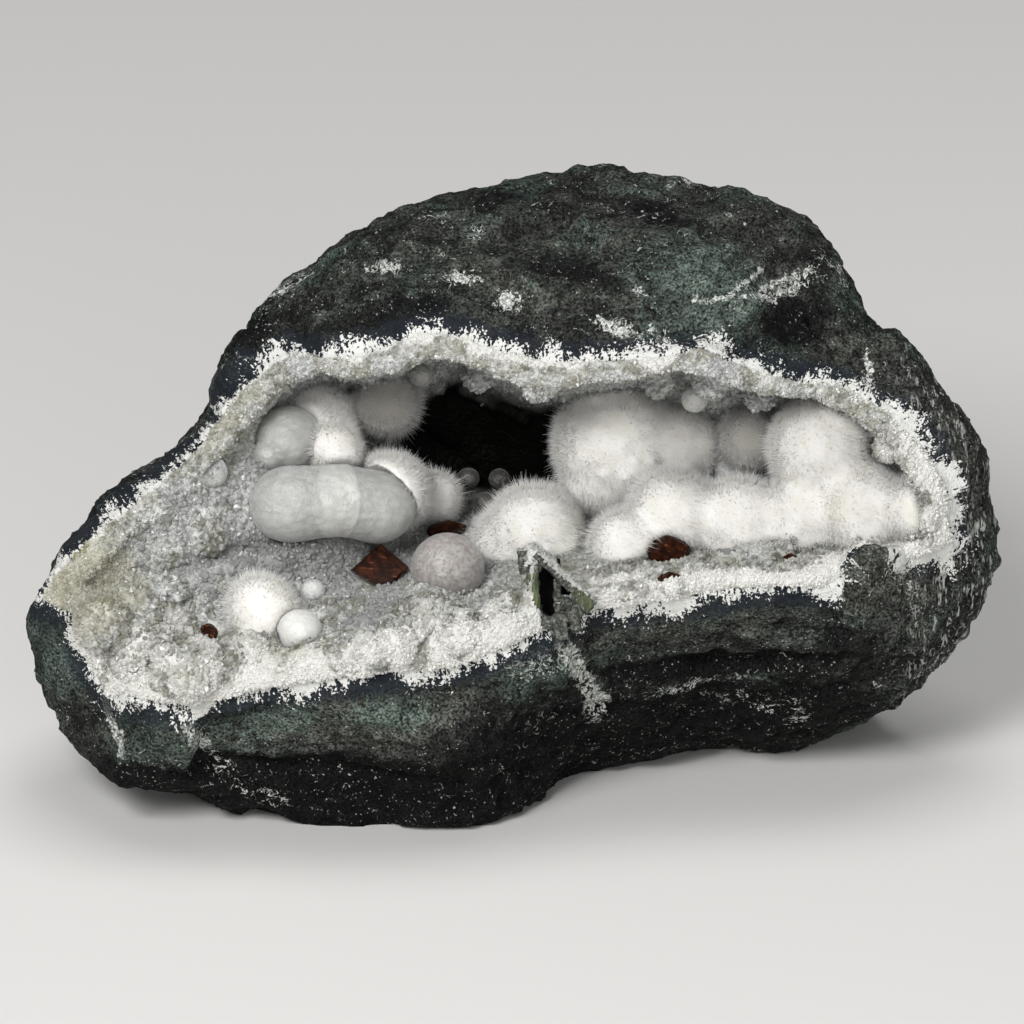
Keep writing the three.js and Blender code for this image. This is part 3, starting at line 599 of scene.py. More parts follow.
def basalt_material(settings):
    """Grey basalt with dark patches, teal stains, white sprays and veins, and dendrites at the crust; with painted
    shade under the ledges and on the underside, and painted light and shade on the relief.
    """
    material, shader, at = start_material("broken_basalt")
    rim, along, worn, light = (kept(at, name) for name in ("rim", "along", "worn", "light"))
    white_mark, teal_mark, dark_and_shade_mark = parts_of(kept(at, "marks", "Vector"))
    x = parts_of(at)[0]
    broad = clouds(stretched(at, 0.055, 0.08, 0.08), 1, 2)
    clast = clouds(stretched(at, 0.13, 0.24, 0.2), 1, 4, 0.66, 0.5)
    middle = clouds(at, 0.55, 3, 0.65)
    speckle = clouds(at, 2.3, 1, 0.6)
    edge = middle * 2.4 - 1.2
    rock = blend(between(middle, 0.38, 0.62), settings.mid, settings.light)
    rock = blend(between(middle * 0.4 + broad, 0.7, 0.84) * 0.5, rock, settings.green)
    # dark patches with crisp, ragged outlines, more of them in the dark and shade marks and fewer in the light marks,
    # and green-blue stains at their edges
    patch = middle * 0.25 + clast + dark_and_shade_mark * 0.2 - light * 0.1
    rock = blend(between(patch, 0.61, 0.68) * 0.8, rock, settings.dark)
    stain = between(patch, 0.54, 0.59) * between(patch, 0.67, 0.61) * between(teal_mark * 0.2 + broad, 0.52, 0.66)
    teal = reckoned("MAXIMUM", between(teal_mark + edge, 0.3, 0.8) * 0.7, stain * 0.45)
    rock = blend(teal, rock, settings.teal)
    # black places of the rock, and painted shade, black, by the grooves, under the ledges and on the underside
    rock = blend(between(dark_and_shade_mark + edge, 0.2, 0.9), rock, settings.black)
    # the broken grain: pale and dark specks; painted shade in the pits and painted light on the edges; paler at
    # random and in the light marks, partly painted light
    for shade in (between(speckle, 0.3, 0.7, 0.25, 1.85), between(worn, 0.1, 0.95, 0.6, 1.35),
                  between(edge * 0.4 + light, 0.2, 0.9, 1, 1.8)):
        rock = blend(1, rock, shade, "MULTIPLY")
    fleck = between(cells(at, 1.2), 0.24, 0.1) * between(clouds(at, 0.4, 2), 0.52, 0.6)
    rock = blend(fleck * 0.8, rock, settings.fleck)
    rock = blend(between(cells(at, 0.5), 0.22, 0.12) * 0.85, rock, settings.black)
    # upright white streaks at the right end
    streak = between(clouds(stretched(at, 1.3, 0.28, 0.6), 1, 2, 0.7), 0.54, 0.66)
    rock = blend(streak * between(edge * 5 + x, 60, 70) * 0.5, rock, settings.white)
    # white patches and veins, broken up in sprays and blots
    spray = clouds(at, 0.8, 3, 0.8, 1.2)
    white = between(spray * 4.4 - 2.35 + white_mark, 0.45, 0.85)
    rock = blend(white, rock, blend(between(speckle, 0.62, 0.4), settings.white, settings.bloom))
    rock = blend(between(broad * 0.25 + spray, 0.79, 0.83) * 0.7, rock, settings.fleck)
    # the blue-black skin next to the crust, and the white dendrites that grow out through it
    skin = between(middle * -5 + rim, 2.6, 0.2) * between(light, 0.95, 0.7)
    rock = blend(skin * 0.85, rock, settings.skin)
    comb = node(at.tree, "CombineXYZ", {0: along, 1: rim * 0.6})
    reach = clouds(comb, 1.5, 2, 0.7, 0.6) * 10 - 4.6 + clouds(comb, 0.16, 2) * 13 - 5.6 + speckle * 5 - 2.5
    reach = between(x, 50, 68) * 1.2 + reach
    rock = blend(between(reach - rim, -0.5, 0.3), rock, settings.dendrite)
    join(shader, dict(Base_Color=rock, Roughness=speckle * -0.3 + 0.95, IOR=1.5, Specular_IOR_Level=0.1,
                      Normal=raised(speckle * 0.3 + middle, 0.8, 0.0008)))
    return material


def crust_material(name, settings, roughness, through, bump_size, gloss):
    """Sugary quartz: white at the rim, clearer and greyer on the floor, with painted shade darkening it in the pocket
    and the depth.
    """
    material, shader, at = start_material(name)
    edge, deep, shade = parts_of(kept(at, "place", "Vector"))
    cream_mark, green_mark, grey_mark = parts_of(kept(at, "marks", "Vector"))
    fine = clouds(at, 1.3, 2, 0.7)
    middle = clouds(at, 0.3, 3, 0.6)
    ragged = fine * 1.2 - 0.6
    body = blend(between(shade * 0.5 + fine, 0.6, 0.95), settings.grey, settings.pale)
    dull = between(grey_mark + ragged, 0.2, 0.8)
    body = blend(dull, body, blend(between(shade, 0.4, 0.9), settings.dull, settings.grey))
    powder = between(fine * 0.4 + middle, 0.68, 0.84)
    body = blend(powder * (dull * -0.7 + 0.8), body, settings.white)
    # clear cream lumps under the white band of the rim, with painted shade in the gaps between them
    inner = between(edge + ragged, 4.2, 2.4)
    lumps = blend(between(shade * 0.4 + middle, 0.55, 0.9), settings.cream_grey, settings.pale)
    body = blend(inner * 0.8, body, lumps)
    gaps = between(clouds(at, 0.55, 2, 0.6), 0.5, 0.36)
    body = blend(inner * gaps * 0.6, body, settings.gap)
    body = blend(between(edge + ragged, 1.25, 0.75), body, settings.white)
    body = blend(between(middle * 1.2 - 0.6 + cream_mark, 0.25, 0.9) * 0.6, body, settings.cream)
    body = blend(between(green_mark + ragged, 0.3, 0.8) * 0.85, body, settings.olive)
    # painted shade, near black, in the pocket, the depth and the cast's hollow
    body = blend(deep, body, settings.deep)
    join(shader, dict(Base_Color=body, Roughness=roughness, IOR=1.544, Transmission_Weight=through,
                      Specular_IOR_Level=gloss, Normal=raised(cells(at, 1.4) * -0.6 + fine, 0.8, bump_size)))
    return material


def okenite_material(name, settings, fibre):
    """Soft white okenite, with painted shade in places, for the fibres or for the body under them."""
    material, shader, at = start_material(name)
    body = blend(between(clouds(at, 0.35, 2, 0.6), 0.35, 0.7), settings.white, settings.warm)
    body = blend(between(clouds(at, 0.12, 1), 0.56, 0.72) * 0.3, body, settings.olive)
    # painted shade, warm and dark, where the shade marks lie and on the dim balls at the back
    body = blend(kept(at, "deep"), body, settings.deep)
    if fibre:
        body = blend(kept(at, "shade") * 0.25, body, settings.warm)
        join(shader, dict(Roughness=0.6, Sheen_Weight=0.8, Sheen_Roughness=0.6, Specular_IOR_Level=0.3))
    else:
        body = blend(between(cells(at, 0.42), 0.05, 0.02) * 0.4, body, settings.olive)
        join(shader, dict(Roughness=0.8, Sheen_Weight=1, Sheen_Roughness=0.5, Specular_IOR_Level=0.2,
                          Normal=raised(clouds(at, 3.2, 1, 0.7), 0.5, 0.0002)))
    join(shader, dict(Base_Color=body, IOR=1.53))
    return material


def gyrolite_material(settings):
    """Pearly, see-through grey balls with a faintly scaly skin."""
    material, shader, at = start_material("pearly_gyrolite")
    seat, pink, milky = parts_of(kept(at, "tones", "Vector"))
    middle = clouds(at, 0.22, 3, 0.6)
    fine = clouds(at, 1.5, 2, 0.7)
    scales = cells(stretched(at, 0.5, 0.8, 0.6), 1)
    body = blend(between(fine * 0.4 + middle, 0.5, 0.95), settings.grey, settings.pale)
    body = blend(milky, body, settings.white)
    body = blend(between(seat, 0.6, 1) * 0.4, body, settings.olive)
    body = blend(between(fine, 0.4, 0.62, 0.2, 0.9) * pink, body, settings.pink)
    # painted shade on the balls in the pocket and under the roof
    body = blend(kept(at, "deep"), body, settings.deep)
    body = blend(1, body, between(scales, 0.1, 0.75, 1.06, 0.92), "MULTIPLY")
    join(shader, dict(Base_Color=body, Roughness=fine * 0.3 + 0.2, IOR=1.54, Subsurface_Weight=1,
                      Subsurface_Radius=(1, 0.98, 0.93), Subsurface_Scale=0.006, Sheen_Weight=0.3,
                      Sheen_Roughness=0.35, Normal=raised(scales * 0.7 + fine, 0.7, 0.0005)))
    return material


def cast_material(settings):
    """Grey and green plates with stripes along them, painted shade making them black in the depth, and sugary on top.
    """
    material, shader, at = start_material("cast_plates")
    green, depth, sugar = parts_of(kept(at, "tones", "Vector"))
    fine = clouds(at, 1.6, 3, 0.7)
    stripes = clouds(stretched(at, 2.4, 0.35, 0.5), 1, 4, 0.65)
    body = blend(between(fine, 0.42, 0.72), settings.dull, settings.grey)
    leafy = blend(between(stripes, 0.4, 0.62), settings.green, settings.pale)
    body = blend(between(stripes * 1.2 - 0.6 + green, 0.3, 0.8), body, leafy)
    body = blend(between(fine * 1.2 - 0.6 + sugar, 0.4, 0.7), body, settings.white)
    # painted shade, black, deep in the hollow
    body = blend(depth, body, settings.deep)
    join(shader, dict(Base_Color=body, Roughness=0.8, Specular_IOR_Level=0.2,
                      Normal=raised(fine + stripes, 0.7, 0.0004)))
    return material


def brown_material(settings):
    """Glassy red-brown crystal with paler bands."""
    material, shader, at = start_material("glassy_brown")
    middle = clouds(at, 0.8, 4, 0.6)
    body = blend(between(middle, 0.42, 0.7), settings.dark, settings.red)
    bands = between(clouds(stretched(at, 0.5, 2.2, 1.4), 1, 3), 0.6, 0.72)
    join(shader, dict(Base_Color=blend(bands, body, settings.pale), Roughness=middle * 0.3 + 0.22, IOR=1.62,
                      Specular_IOR_Level=0.08, Normal=raised(middle, 0.4, 0.0003)))
    return material


def floor_material(settings):
    """Plain pale floor, hardly mottled."""
    material, shader, at = start_material("pale_floor")
    body = blend(clouds(at, 0.004, 3), settings.floor, [c * 0.97 for c in settings.floor])
    join(shader, dict(Base_Color=body, Roughness=0.85))
    return material


# ---- settings

def tint(name, description, default):
    return FloatVectorProperty(name=name, description=description, default=default, subtype="COLOR", size=3, min=0,
                               max=1)


def length(name, description, millimetres):
    return FloatProperty(name=name, description=description, default=millimetres / 1000, unit="LENGTH", min=0,
                         precision=5)


def amount(name, description, default):
    return FloatProperty(name=name, description=description, default=default, min=0)


class GEODE_basalt(PropertyGroup):
    cell: length("Cell", "Size of the rock mesh's cells", 0.85)
    facet: length("Facet", "Height of the broad broken facets", 4.8)
    chip: length("Chip", "Height of the small chips", 1.1)
    grain: length("Grain", "Height of the rock's roughness", 0.55)
    dark: tint("Dark", "Dark patches", (0.009, 0.010, 0.0095))
    mid: tint("Middle", "Grey basalt", (0.027, 0.029, 0.025))
    light: tint("Light", "Paler basalt", (0.050, 0.052, 0.045))
    green: tint("Green", "Green-grey basalt", (0.036, 0.045, 0.038))
    teal: tint("Teal", "Teal places", (0.054, 0.073, 0.062))
    # black is also the colour of painted shade under the ledges and on the underside
    black: tint("Black", "Darkest places", (0.004, 0.0045, 0.004))
    fleck: tint("Fleck", "Light specks", (0.34, 0.36, 0.33))
    bloom: tint("Bloom", "Pale grains", (0.26, 0.275, 0.255))
    white: tint("White", "White patches and veins", (0.62, 0.63, 0.59))
    skin: tint("Skin", "Blue-black skin at the crust", (0.014, 0.018, 0.024))
    dendrite: tint("Dendrite", "White dendrites at the crust", (0.68, 0.68, 0.65))


class GEODE_crust(PropertyGroup):
    cell: length("Cell", "Size of the crust mesh's cells", 0.65)
    bump: length("Bump", "Height of the rounded bumps", 0.45)
    rim_grain: length("Rim grain", "Radius of the sugary grains at the rim", 0.24)
    floor_grain: length("Floor grain", "Radius of the clear grains on the floor", 0.4)
    rim_density: amount("Rim density", "Rim grains a square mm", 5.5)
    floor_density: amount("Floor density", "Floor grains a square mm", 2.2)
    seat_density: amount("Seat density", "Grains a square mm at the balls' seats", 3.5)
    white: tint("White", "Sugary white", (0.66, 0.655, 0.62))
    pale: tint("Pale", "Pale floor", (0.54, 0.545, 0.53))
    grey: tint("Grey", "Grey floor", (0.31, 0.315, 0.305))
    dull: tint("Dull", "Dull grey band", (0.30, 0.305, 0.298))
    cream: tint("Cream", "Cream part", (0.40, 0.38, 0.28))
    cream_grey: tint("Cream grey", "Clear lumps under the rim", (0.27, 0.26, 0.20))
    olive: tint("Olive", "Olive stain", (0.20, 0.20, 0.09))
    # gap is the colour of painted shade between the lumps
    gap: tint("Gap", "Dark gaps between the lumps", (0.11, 0.108, 0.09))
    # deep is the colour of painted shade in the pocket and the depth
    deep: tint("Deep", "Dark lining of the pocket", (0.0015, 0.0015, 0.001))


class GEODE_cast(PropertyGroup):
    cell: length("Cell", "Size of the cast's cells", 0.22)
    grains: amount("Grains", "Sugary grains a square mm", 4)
    grey: tint("Grey", "Pale grey plates", (0.22, 0.225, 0.20))
    dull: tint("Dull", "Dull grey plates", (0.035, 0.038, 0.032))
    green: tint("Green", "Green edge", (0.035, 0.05, 0.02))
    pale: tint("Pale", "Pale green edge", (0.12, 0.14, 0.075))
    white: tint("White", "Sugary white", (0.42, 0.42, 0.40))
    # deep is the colour of painted shade in the cast's hollow
    deep: tint("Deep", "Black in the depth", (0.003, 0.003, 0.003))


class GEODE_okenite(PropertyGroup):
    cell: length("Cell", "Size of the ball mesh's cells", 0.5)
    fibre: length("Fibre", "Length of the fibres", 1.6)
    thickness: length("Thickness", "Radius of a fibre at its root", 0.036)
    density: amount("Density", "Fibres a square mm", 20)
    white: tint("White", "White fibres", (0.80, 0.785, 0.755))
    warm: tint("Warm", "Warmer white", (0.73, 0.71, 0.65))
    # deep is the colour of painted shade on the puffballs
    deep: tint("Deep", "Dimmer balls at the back", (0.12, 0.11, 0.09))
    olive: tint("Olive", "Faint olive tint", (0.66, 0.65, 0.52))


class GEODE_gyrolite(PropertyGroup):
    detail: IntProperty(name="Detail", description="Subdivisions of a ball", min=2, max=6, default=4)
    grey: tint("Grey", "Grey of the balls", (0.40, 0.40, 0.385))
    pale: tint("Pale", "Paler parts", (0.47, 0.47, 0.455))
    white: tint("White", "Milky balls", (0.70, 0.695, 0.66))
    olive: tint("Olive", "Olive seat", (0.26, 0.255, 0.15))
    pink: tint("Pink", "Pinkish skin", (0.30, 0.255, 0.235))
    # deep is the colour of painted shade on the balls in the pocket
    deep: tint("Deep", "Dim balls in the pocket", (0.055, 0.053, 0.046))


class GEODE_brown(PropertyGroup):
    bevel: length("Bevel", "Width of the crystals' edges", 0.18)
    dark: tint("Dark", "Dark brown", (0.012, 0.0035, 0.0015))
    red: tint("Red", "Red-brown", (0.050, 0.013, 0.004))
    pale: tint("Pale", "Pale bands", (0.16, 0.055, 0.022))


class GEODE_stage(PropertyGroup):
    distance: length("Distance", "Camera distance", 2000)
    field: length("Field", "Width of the view at the stone", 168.96)
    floor: tint("Floor", "Pale floor", (0.72, 0.71, 0.69))
    key: amount("Key light", "Power of the key light, W", 18)
    fill: amount("Fill light", "Power of the fill light, W", 7)
    top: amount("Top light", "Power of the top light, W", 7)
    world: amount("World light", "Strength of the light all round", 0.14)


# ---- operators

class GEODE_OT_basalt(Operator):
    """Break up the basalt's surface and colour it"""
    bl_idname = "geode.basalt"
    bl_label = "Basalt"

    def execute(self, context):
        settings = context.scene.geode_basalt
        mesh = refined("basalt", *cad_surface("basalt_matrix"), settings.cell)
        world, normals = points_of(mesh), normals_of(mesh)
        rim = distances(cad_tree("quartz_crust"), world, RIM_REACH) * 1000
        stone = to_stone(world)
        x, y, z = stone.T
        free, front = ramp_up(rim, 0.9, 4), ramp_up(z, -6, 3)
        small = settings.chip * chipped(stone * (0.8, 1.25, 1), 5.5, 2)
        small += settings.grain * (cloudy(stone, 2.6, 3) - 0.2 + 0.8 * chipped(stone, 2.3, 8))
        height = settings.facet * chipped(stone * (0.8, 1.2, 1), 17, 1) + small
        height -= marked(stone, GROOVES) * front / 1000
        moved = world + normals * (height * free)[:, None]
        moved += normals * (RIM_LIP * ramp_up(rim, 1.1, 0.7))[:, None]
        flat = world[:, 2] < FOOT
        moved[flat, 2] = world[flat, 2]
        moved[:, 2] = np.maximum(moved[:, 2], 0)
        move_points(mesh, moved)
        pale = clamped(cloudy(stone, 9, 6) * 1.5 - 0.35) * (1 - front)
        white = np.maximum(marked(stone, WHITE_MARKS), veined(stone, VEINS)) * front + pale
        teal = marked(stone, TEAL_MARKS) * front + clamped(cloudy(stone, 15, 5) * 1.6) * (1 - front)
        # painted shade on the underside: the bottom of the front is darkened and its white marks fade
        below = ramp_up(z, -32, -20)
        under = ramp_up(y, -34 - 7 * ramp_up(x, 8, -14), -44) * below
        # The relief's pits get painted shade and its edges painted light.
        note(mesh, rim=rim, along=along_mouth(stone), light=marked(stone, LIGHT_MARKS) * front,
             worn=clamped(0.5 + small * 900 * free),
             marks=(white * (1 - 0.6 * under), teal, np.maximum(marked(stone, DARK_AND_SHADE_MARKS) * below, under)))
        placed("basalt", mesh, basalt_material(settings), ["basalt_matrix"])
        return {"FINISHED"}


def crust_notes(world, outside, shade):
    """What the crust's materials read at each point: its place from the edge, its painted shade in the pocket and the
    depth, and its stained parts.
    """
    stone = to_stone(world)
    x, y, z = stone.T
    rim = distances(outside, world, RIM_REACH) * 1000
    low = ramp_up(y - np.minimum(0, 0.2 * x), -1, -7)
    wide = 1.3 + 2.8 * low + 4.0 * ramp_up(x, 56, 64) * ramp_up(y, 19, 10) + 0.8 * ramp_up(x, -35, -40)
    wide *= 1 + 1.3 * cloudy(stone, 5, 21, 2)
    lump = marked(stone, [(*m[:2], m[2] * 0.7, m[2] * 0.7, 0, 1) for m in LUMPS])
    edge = rim / (np.maximum(wide, 0.5) * (1 + 1.5 * lump))
    # painted shade: dark in the pocket and further down in the depth
    pocket = np.minimum(marked(stone, [POCKET]), 1) * ramp_up(z, -5, -13)
    deep = clamped(np.maximum(pocket, 0.6 * ramp_up(z, -15, -28)))
    marks = np.column_stack([marked(stone, m) for m in (CREAM_MARKS, GREEN_MARKS, GREY_MARKS)])
    return rim, np.column_stack((edge, deep, shade)), marks


def outer_rock():
    """The basalt's outside, as a tree: its faces that don't line the hollow."""
    points, faces = cad_surface("basalt_matrix")
    far = distances(cad_tree("quartz_crust"), points[faces].mean(axis=1), 0.01) > 0.0012
    return tree_of(points, faces[far])


class GEODE_OT_crust(Operator):
    """Round and roughen the quartz crust, and strew its grains"""
    bl_idname = "geode.crust"
    bl_label = "Quartz crust"

    def execute(self, context):
        settings = context.scene.geode_crust
        chance = np.random.default_rng(11)
        mesh = refined("crust", *cad_surface("quartz_crust"), settings.cell)
        outside = outer_rock()
        world = points_of(mesh)
        stone = to_stone(world)
        x, y, z = stone.T
        rim = distances(outside, world, RIM_REACH) * 1000
        smoothed(mesh, 25, (x < -38) & (rim > 2) & (rim < 15), STRONG)
        world, normals = points_of(mesh), normals_of(mesh)
        bare = ramp_up(distances(cad_tree("basalt_matrix"), world, 0.003), 0.0004, 0.0012)
        cast = clamped(marked(stone, [CAST_PLACE]))
        rim, place, marks = crust_notes(world, outside, np.full(len(world), 0.5))
        height = (0.4 + 0.6 * ramp_up(rim, 9, 3)) * (rounded(stone, 4.4, 5) - 0.35) * 2 + rounded(stone, 2.3, 1) - 0.5
        height = settings.bump * (height + 0.45 * rounded(stone, 1.2, 2)) * (1 - 0.85 * cast)
        for at_x, at_y, radius, tall in LUMPS:
            near = np.hypot(x - at_x, y - at_y) / radius
            height += tall * 0.001 * np.sqrt(clamped(1 - near**2)) * ramp_up(z, -22, -16)
        hollow = ramp_up(marked(stone, CAST_HOLLOW), 0.55, 0.75) * (z > CAST_FLOOR)
        moved = world + normals * (height * bare + 0.0003 * (1 - bare))[:, None]
        moved -= np.outer(hollow * np.maximum(z - CAST_FLOOR, 0) / 1000, MOUTH_OUT)
        # painted shade in the cast's hollow as well
        place[:, 1] = np.maximum(place[:, 1], hollow)
        move_points(mesh, moved)
        note(mesh, place=place, marks=marks)
        material = crust_material("sugary_crust", settings, 0.6, 0, 0.0005, 0.06)
        placed("crust", mesh, material, ["quartz_crust"])

        seats = [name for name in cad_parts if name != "quartz_crust"]
        taken = cad_tree(*seats)
        no_cast = ramp_up(marked(stone, CAST_HOLLOW), 0.45, 0.15)
        at_rim = ramp_up(rim, 9, 4) * np.maximum(bare, 0.6 * (rim < 1.2)) * (1 - cast) * no_cast
        on_floor = ((1 - ramp_up(rim, 7, 3)) * bare * (1 - cast) * ramp_up(z, -30, -14) * (1 - place[:, 1])
                    * no_cast)
        grown = [name for name in seats if name.startswith(("okenite", "gyrolite")) and "deep" not in name]
        balls = refined("seats", *cad_surface(*grown), 0.0007)
        at_seat = ramp_up(distances(cad_tree("quartz_crust"), points_of(balls), 0.004), 0.0015, 0.0008)
        at_seat *= 1 - clamped(marked(to_stone(points_of(balls)), [CAST_SEATS]))
        for name, ground, weight, density, radius, tall, sides, through, lean in (
                ("rim_grains", mesh, at_rim, settings.rim_density, settings.rim_grain, 1.9, 5, 0, 0.45),
                ("floor_grains", mesh, on_floor, settings.floor_density, settings.floor_grain, 1.7, 6, 0.3, 0.4),
                ("seat_grains", balls, at_seat, settings.seat_density, settings.floor_grain * 0.6, 1.7, 6, 0.3, 0.6)):
            places, away = scattered(ground, density * (1), chance, weight)
            clear = distances(taken, places, 0.003) > (0.0003 if ground is mesh else -1)
            places, away = places[clear], away[clear]
            count = len(places)
            radii = radius * np.exp(chance.normal(0, 0.35, count)).clip(0.5, 2.2)
            lengths = radii * tall * chance.uniform(0.8, 1.5, count)
            axes = strewn(away, lean, chance)
            roots = places - axes * (lengths * 0.45)[:, None]
            made = copies(quartz_grain(sides), roots, axes, radii, lengths, chance)
            grains = mesh_from(name, *made)
            _, place, marks = crust_notes(places, outside, chance.random(count))
            each = len(made[0]) // count
            note(grains, place=np.repeat(place, each, axis=0), marks=np.repeat(marks, each, axis=0))
            placed(name, grains, crust_material(name, settings, 0.3, through, 0.0001, 0.5), smooth=False)
        bpy.data.meshes.remove(balls)
        return {"FINISHED"}


class GEODE_OT_cast(Operator):
    """Make the plates and steps of the hollow cast"""
    bl_idname = "geode.cast"
    bl_label = "Hollow cast"

    def execute(self, context):
        settings = context.scene.geode_cast
        work = bmesh.new()
        for x, y, half_width, half_height, turn, front, _ in CAST_BLOCKS:
            c, s = math.cos(math.radians(turn)), math.sin(math.radians(turn))
            for vert in bmesh.ops.create_cube(work, size=2)["verts"]:
                u, v = vert.co.x * half_width, vert.co.y * half_height
                z = front if vert.co.z > 0 else CAST_BACK
                vert.co = to_world([[x + u * c - v * s, y + u * s + v * c, z]])[0]
        mesh = refined("cast", *arrays_of(work), settings.cell)
        world, normals = points_of(mesh), normals_of(mesh)
        stone = to_stone(world)
        height = 0.00022 * cloudy(stone, 1.6, 31) + 0.0005 * chipped(stone * (1, 0.5, 1), 1.6, 32)
        move_points(mesh, world + normals * height[:, None])
        green = np.zeros(len(stone))
        for *block, front, much in CAST_BLOCKS:
            green[(marked(stone, [(*block, 1)]) > 0.4) & (stone[:, 2] > front - 2.5)] = much
        top = ramp_up(normals @ MOUTH_UP, 0.35, 0.7) * (stone[:, 1] > -17)
        sugar = np.maximum(top, marked(stone, [CAST_SUGAR]))
        # the middle tone is painted shade that grows with depth
        note(mesh, tones=(green, ramp_up(stone[:, 2], 18.3, 15), sugar))
        material = cast_material(settings)
        placed("cast", mesh, material)
        chance = np.random.default_rng(41)
        places, away = scattered(mesh, settings.grains, chance, sugar * ramp_up(stone[:, 2], 18, 20))
        radii = chance.uniform(0.00014, 0.00036, len(places))
        axes = strewn(away, 0.5, chance)
        lengths = radii * chance.uniform(1.2, 2.2, len(places))
        made = copies(quartz_grain(5), places - axes * (radii * 0.5)[:, None], axes, radii, lengths, chance)
        grains = mesh_from("cast_grains", *made)
        note(grains, tones=np.tile((0, 0, 0.7), (len(made[0]), 1)))
        placed("cast_grains", grains, material, smooth=False)
        return {"FINISHED"}


class GEODE_OT_okenite(Operator):
    """Make the okenite puffballs' bodies and their radiating fibres"""
    bl_idname = "geode.okenite"
    bl_label = "Okenite puffballs"

    def execute(self, context):
        settings = context.scene.geode_okenite
        chance = np.random.default_rng(23)
        body_material = okenite_material("okenite_body", settings, False)
        fibre_material = okenite_material("okenite_fibres", settings, True)
        for name, dim in PUFFBALL_NODES.items():
            rest = cad_tree(*[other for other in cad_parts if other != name])
            mesh = smoothed(refined(name + "_body", *cad_surface(name), settings.cell), 22)
            world, normals = points_of(mesh), normals_of(mesh)
            seated = ramp_up(distances(rest, world, 0.004), 0.0032, 0.0006)
            inset = settings.fibre * 0.5 * (1 - seated) - 0.0001 * seated
            move_points(mesh, world - normals * inset[:, None])
            smoothed(mesh, 5)
            smoothed(mesh, 60, to_stone(world)[:, 0] > BANK_END, STRONG)
            # painted shade on the body where the shade marks lie and on the dim balls
            note(mesh, deep=shaded(world, dim))
            placed(name + "_body", mesh, body_material, [name])
            facing = normals_of(mesh) @ MOUTH_OUT
            weight = (0.12 + 0.88 * ramp_up(facing, -0.75, -0.35)) * (1.25 - 1.15 * clamped(facing * 1.1))
            places, away = scattered(mesh, settings.density * (1), chance, weight)
            axes = strewn(away, 0.13, chance)
            count = len(places)
            long = settings.fibre * chance.uniform(0.5, 1.15, count) * (1.3 - 0.5 * clamped(away @ MOUTH_OUT))
            stray = chance.random(count) < STRAY_SHARE
            long[stray] *= chance.uniform(1.1, 1.7, stray.sum())
            hits = [rest.ray_cast(p, a, l)[3] for p, a, l in zip(places.tolist(), axes.tolist(), long.tolist())]
            long = np.minimum(long, [1 if h is None else h * 0.95 for h in hits])
            clear = long > SHORTEST_FIBRE
            places, axes, long = places[clear], axes[clear], long[clear]
            thick = settings.thickness * chance.uniform(0.7, 1.35, len(places)) * (1 + 0.5 * stray[clear])
            order = np.argsort(places[:, 0])
            for number, some in enumerate(np.array_split(order, math.ceil(len(order) / FIBRES_A_PIECE)), 1):
                roots = places[some] - axes[some] * 0.0001
                made = copies(spike(3), roots, axes[some], thick[some], long[some], chance)
                fibres = mesh_from(f"{name}_fibres_{number}", *made)
                each = len(made[0]) // len(some)
                # each fibre carries the painted shade of its place
                note(fibres, shade=np.repeat(chance.random(len(some)), each),
                     deep=np.repeat(shaded(places[some], dim), each))
                placed(fibres.name, fibres, fibre_material)
        return {"FINISHED"}


class GEODE_OT_gyrolite(Operator):
    """Make the smooth pearly gyrolite balls"""
    bl_idname = "geode.gyrolite"
    bl_label = "Gyrolite balls"

    def execute(self, context):
        settings = context.scene.geode_gyrolite
        material = gyrolite_material(settings)
        upwards = Vector(MOUTH_UP)
        for name, balls in GYROLITE_BALLS.items():
            joined = name == "gyrolite_trio"
            flat, reach = (0.91, 0.002) if joined else (0.97, 0.0004)
            tree = cad_tree(name)
            depth = to_stone(cad_surface(name)[0])[:, 2].mean()
            centres = []
            for x, y, radius in balls:
                start, end = to_world([[x, y, 60], [x, y, 0]])
                hit = tree.ray_cast(start, Vector(end - start).normalized())[0]
                if hit is not None:
                    depth = to_stone([hit])[0, 2] - radius
                centres.append((x, y, depth, radius))
            if joined:
                centres = [np.array(a) + (np.array(b) - a) * t for a, b in zip(centres, centres[1:])
                           for t in (0, 0.25, 0.5, 0.75, 1)]
            work = bmesh.new()
            for *centre, radius in centres:
                ball = bmesh.ops.create_icosphere(work, subdivisions=settings.detail, radius=radius * 0.001)["verts"]
                for vert in ball:
                    up = vert.co.dot(upwards)
                    vert.co += upwards * (up * (flat - 1) - radius * 0.001 * (1 - flat) * 0.3)
                bmesh.ops.translate(work, verts=ball, vec=Vector(to_world([centre])[0]))
            cell = 0.0003 if len(balls) > 1 else 0.00022
            mesh = smoothed(refined(name + "_ball", *arrays_of(work), cell), 2)
            points = points_of(mesh)
            for i, p in enumerate(points.tolist()):
                near, normal, _, far = tree.find_nearest(p)
                if far > reach and (Vector(p) - near).dot(normal) > 0:
                    points[i] = near
            move_points(mesh, points)
            x, y, z = to_stone(points).T
            milky, dim = GYROLITE_TONES.get(name, (0, 0))
            if joined:
                disc = np.hypot((x + 28.8) / 3.9, y / 6.8)
                lift = 0.00018 * ramp_up(disc, 1.03, 0.96) * ramp_up(x, -33.5, -29)
                move_points(mesh, points + normals_of(mesh) * lift[:, None])
                milky = 0.5 * ramp_up(disc, 1.02, 0.97) * ramp_up(x, -33.5, -30)
            every = np.ones(len(points))
            # deep carries the painted shade of the dim balls
            note(mesh, tones=(1 - (z - z.min()) / np.ptp(z), every * (name == "gyrolite_centre_ball"), every * milky),
                 deep=every * dim)
            placed(name + "_ball", mesh, material, [name])
        return {"FINISHED"}


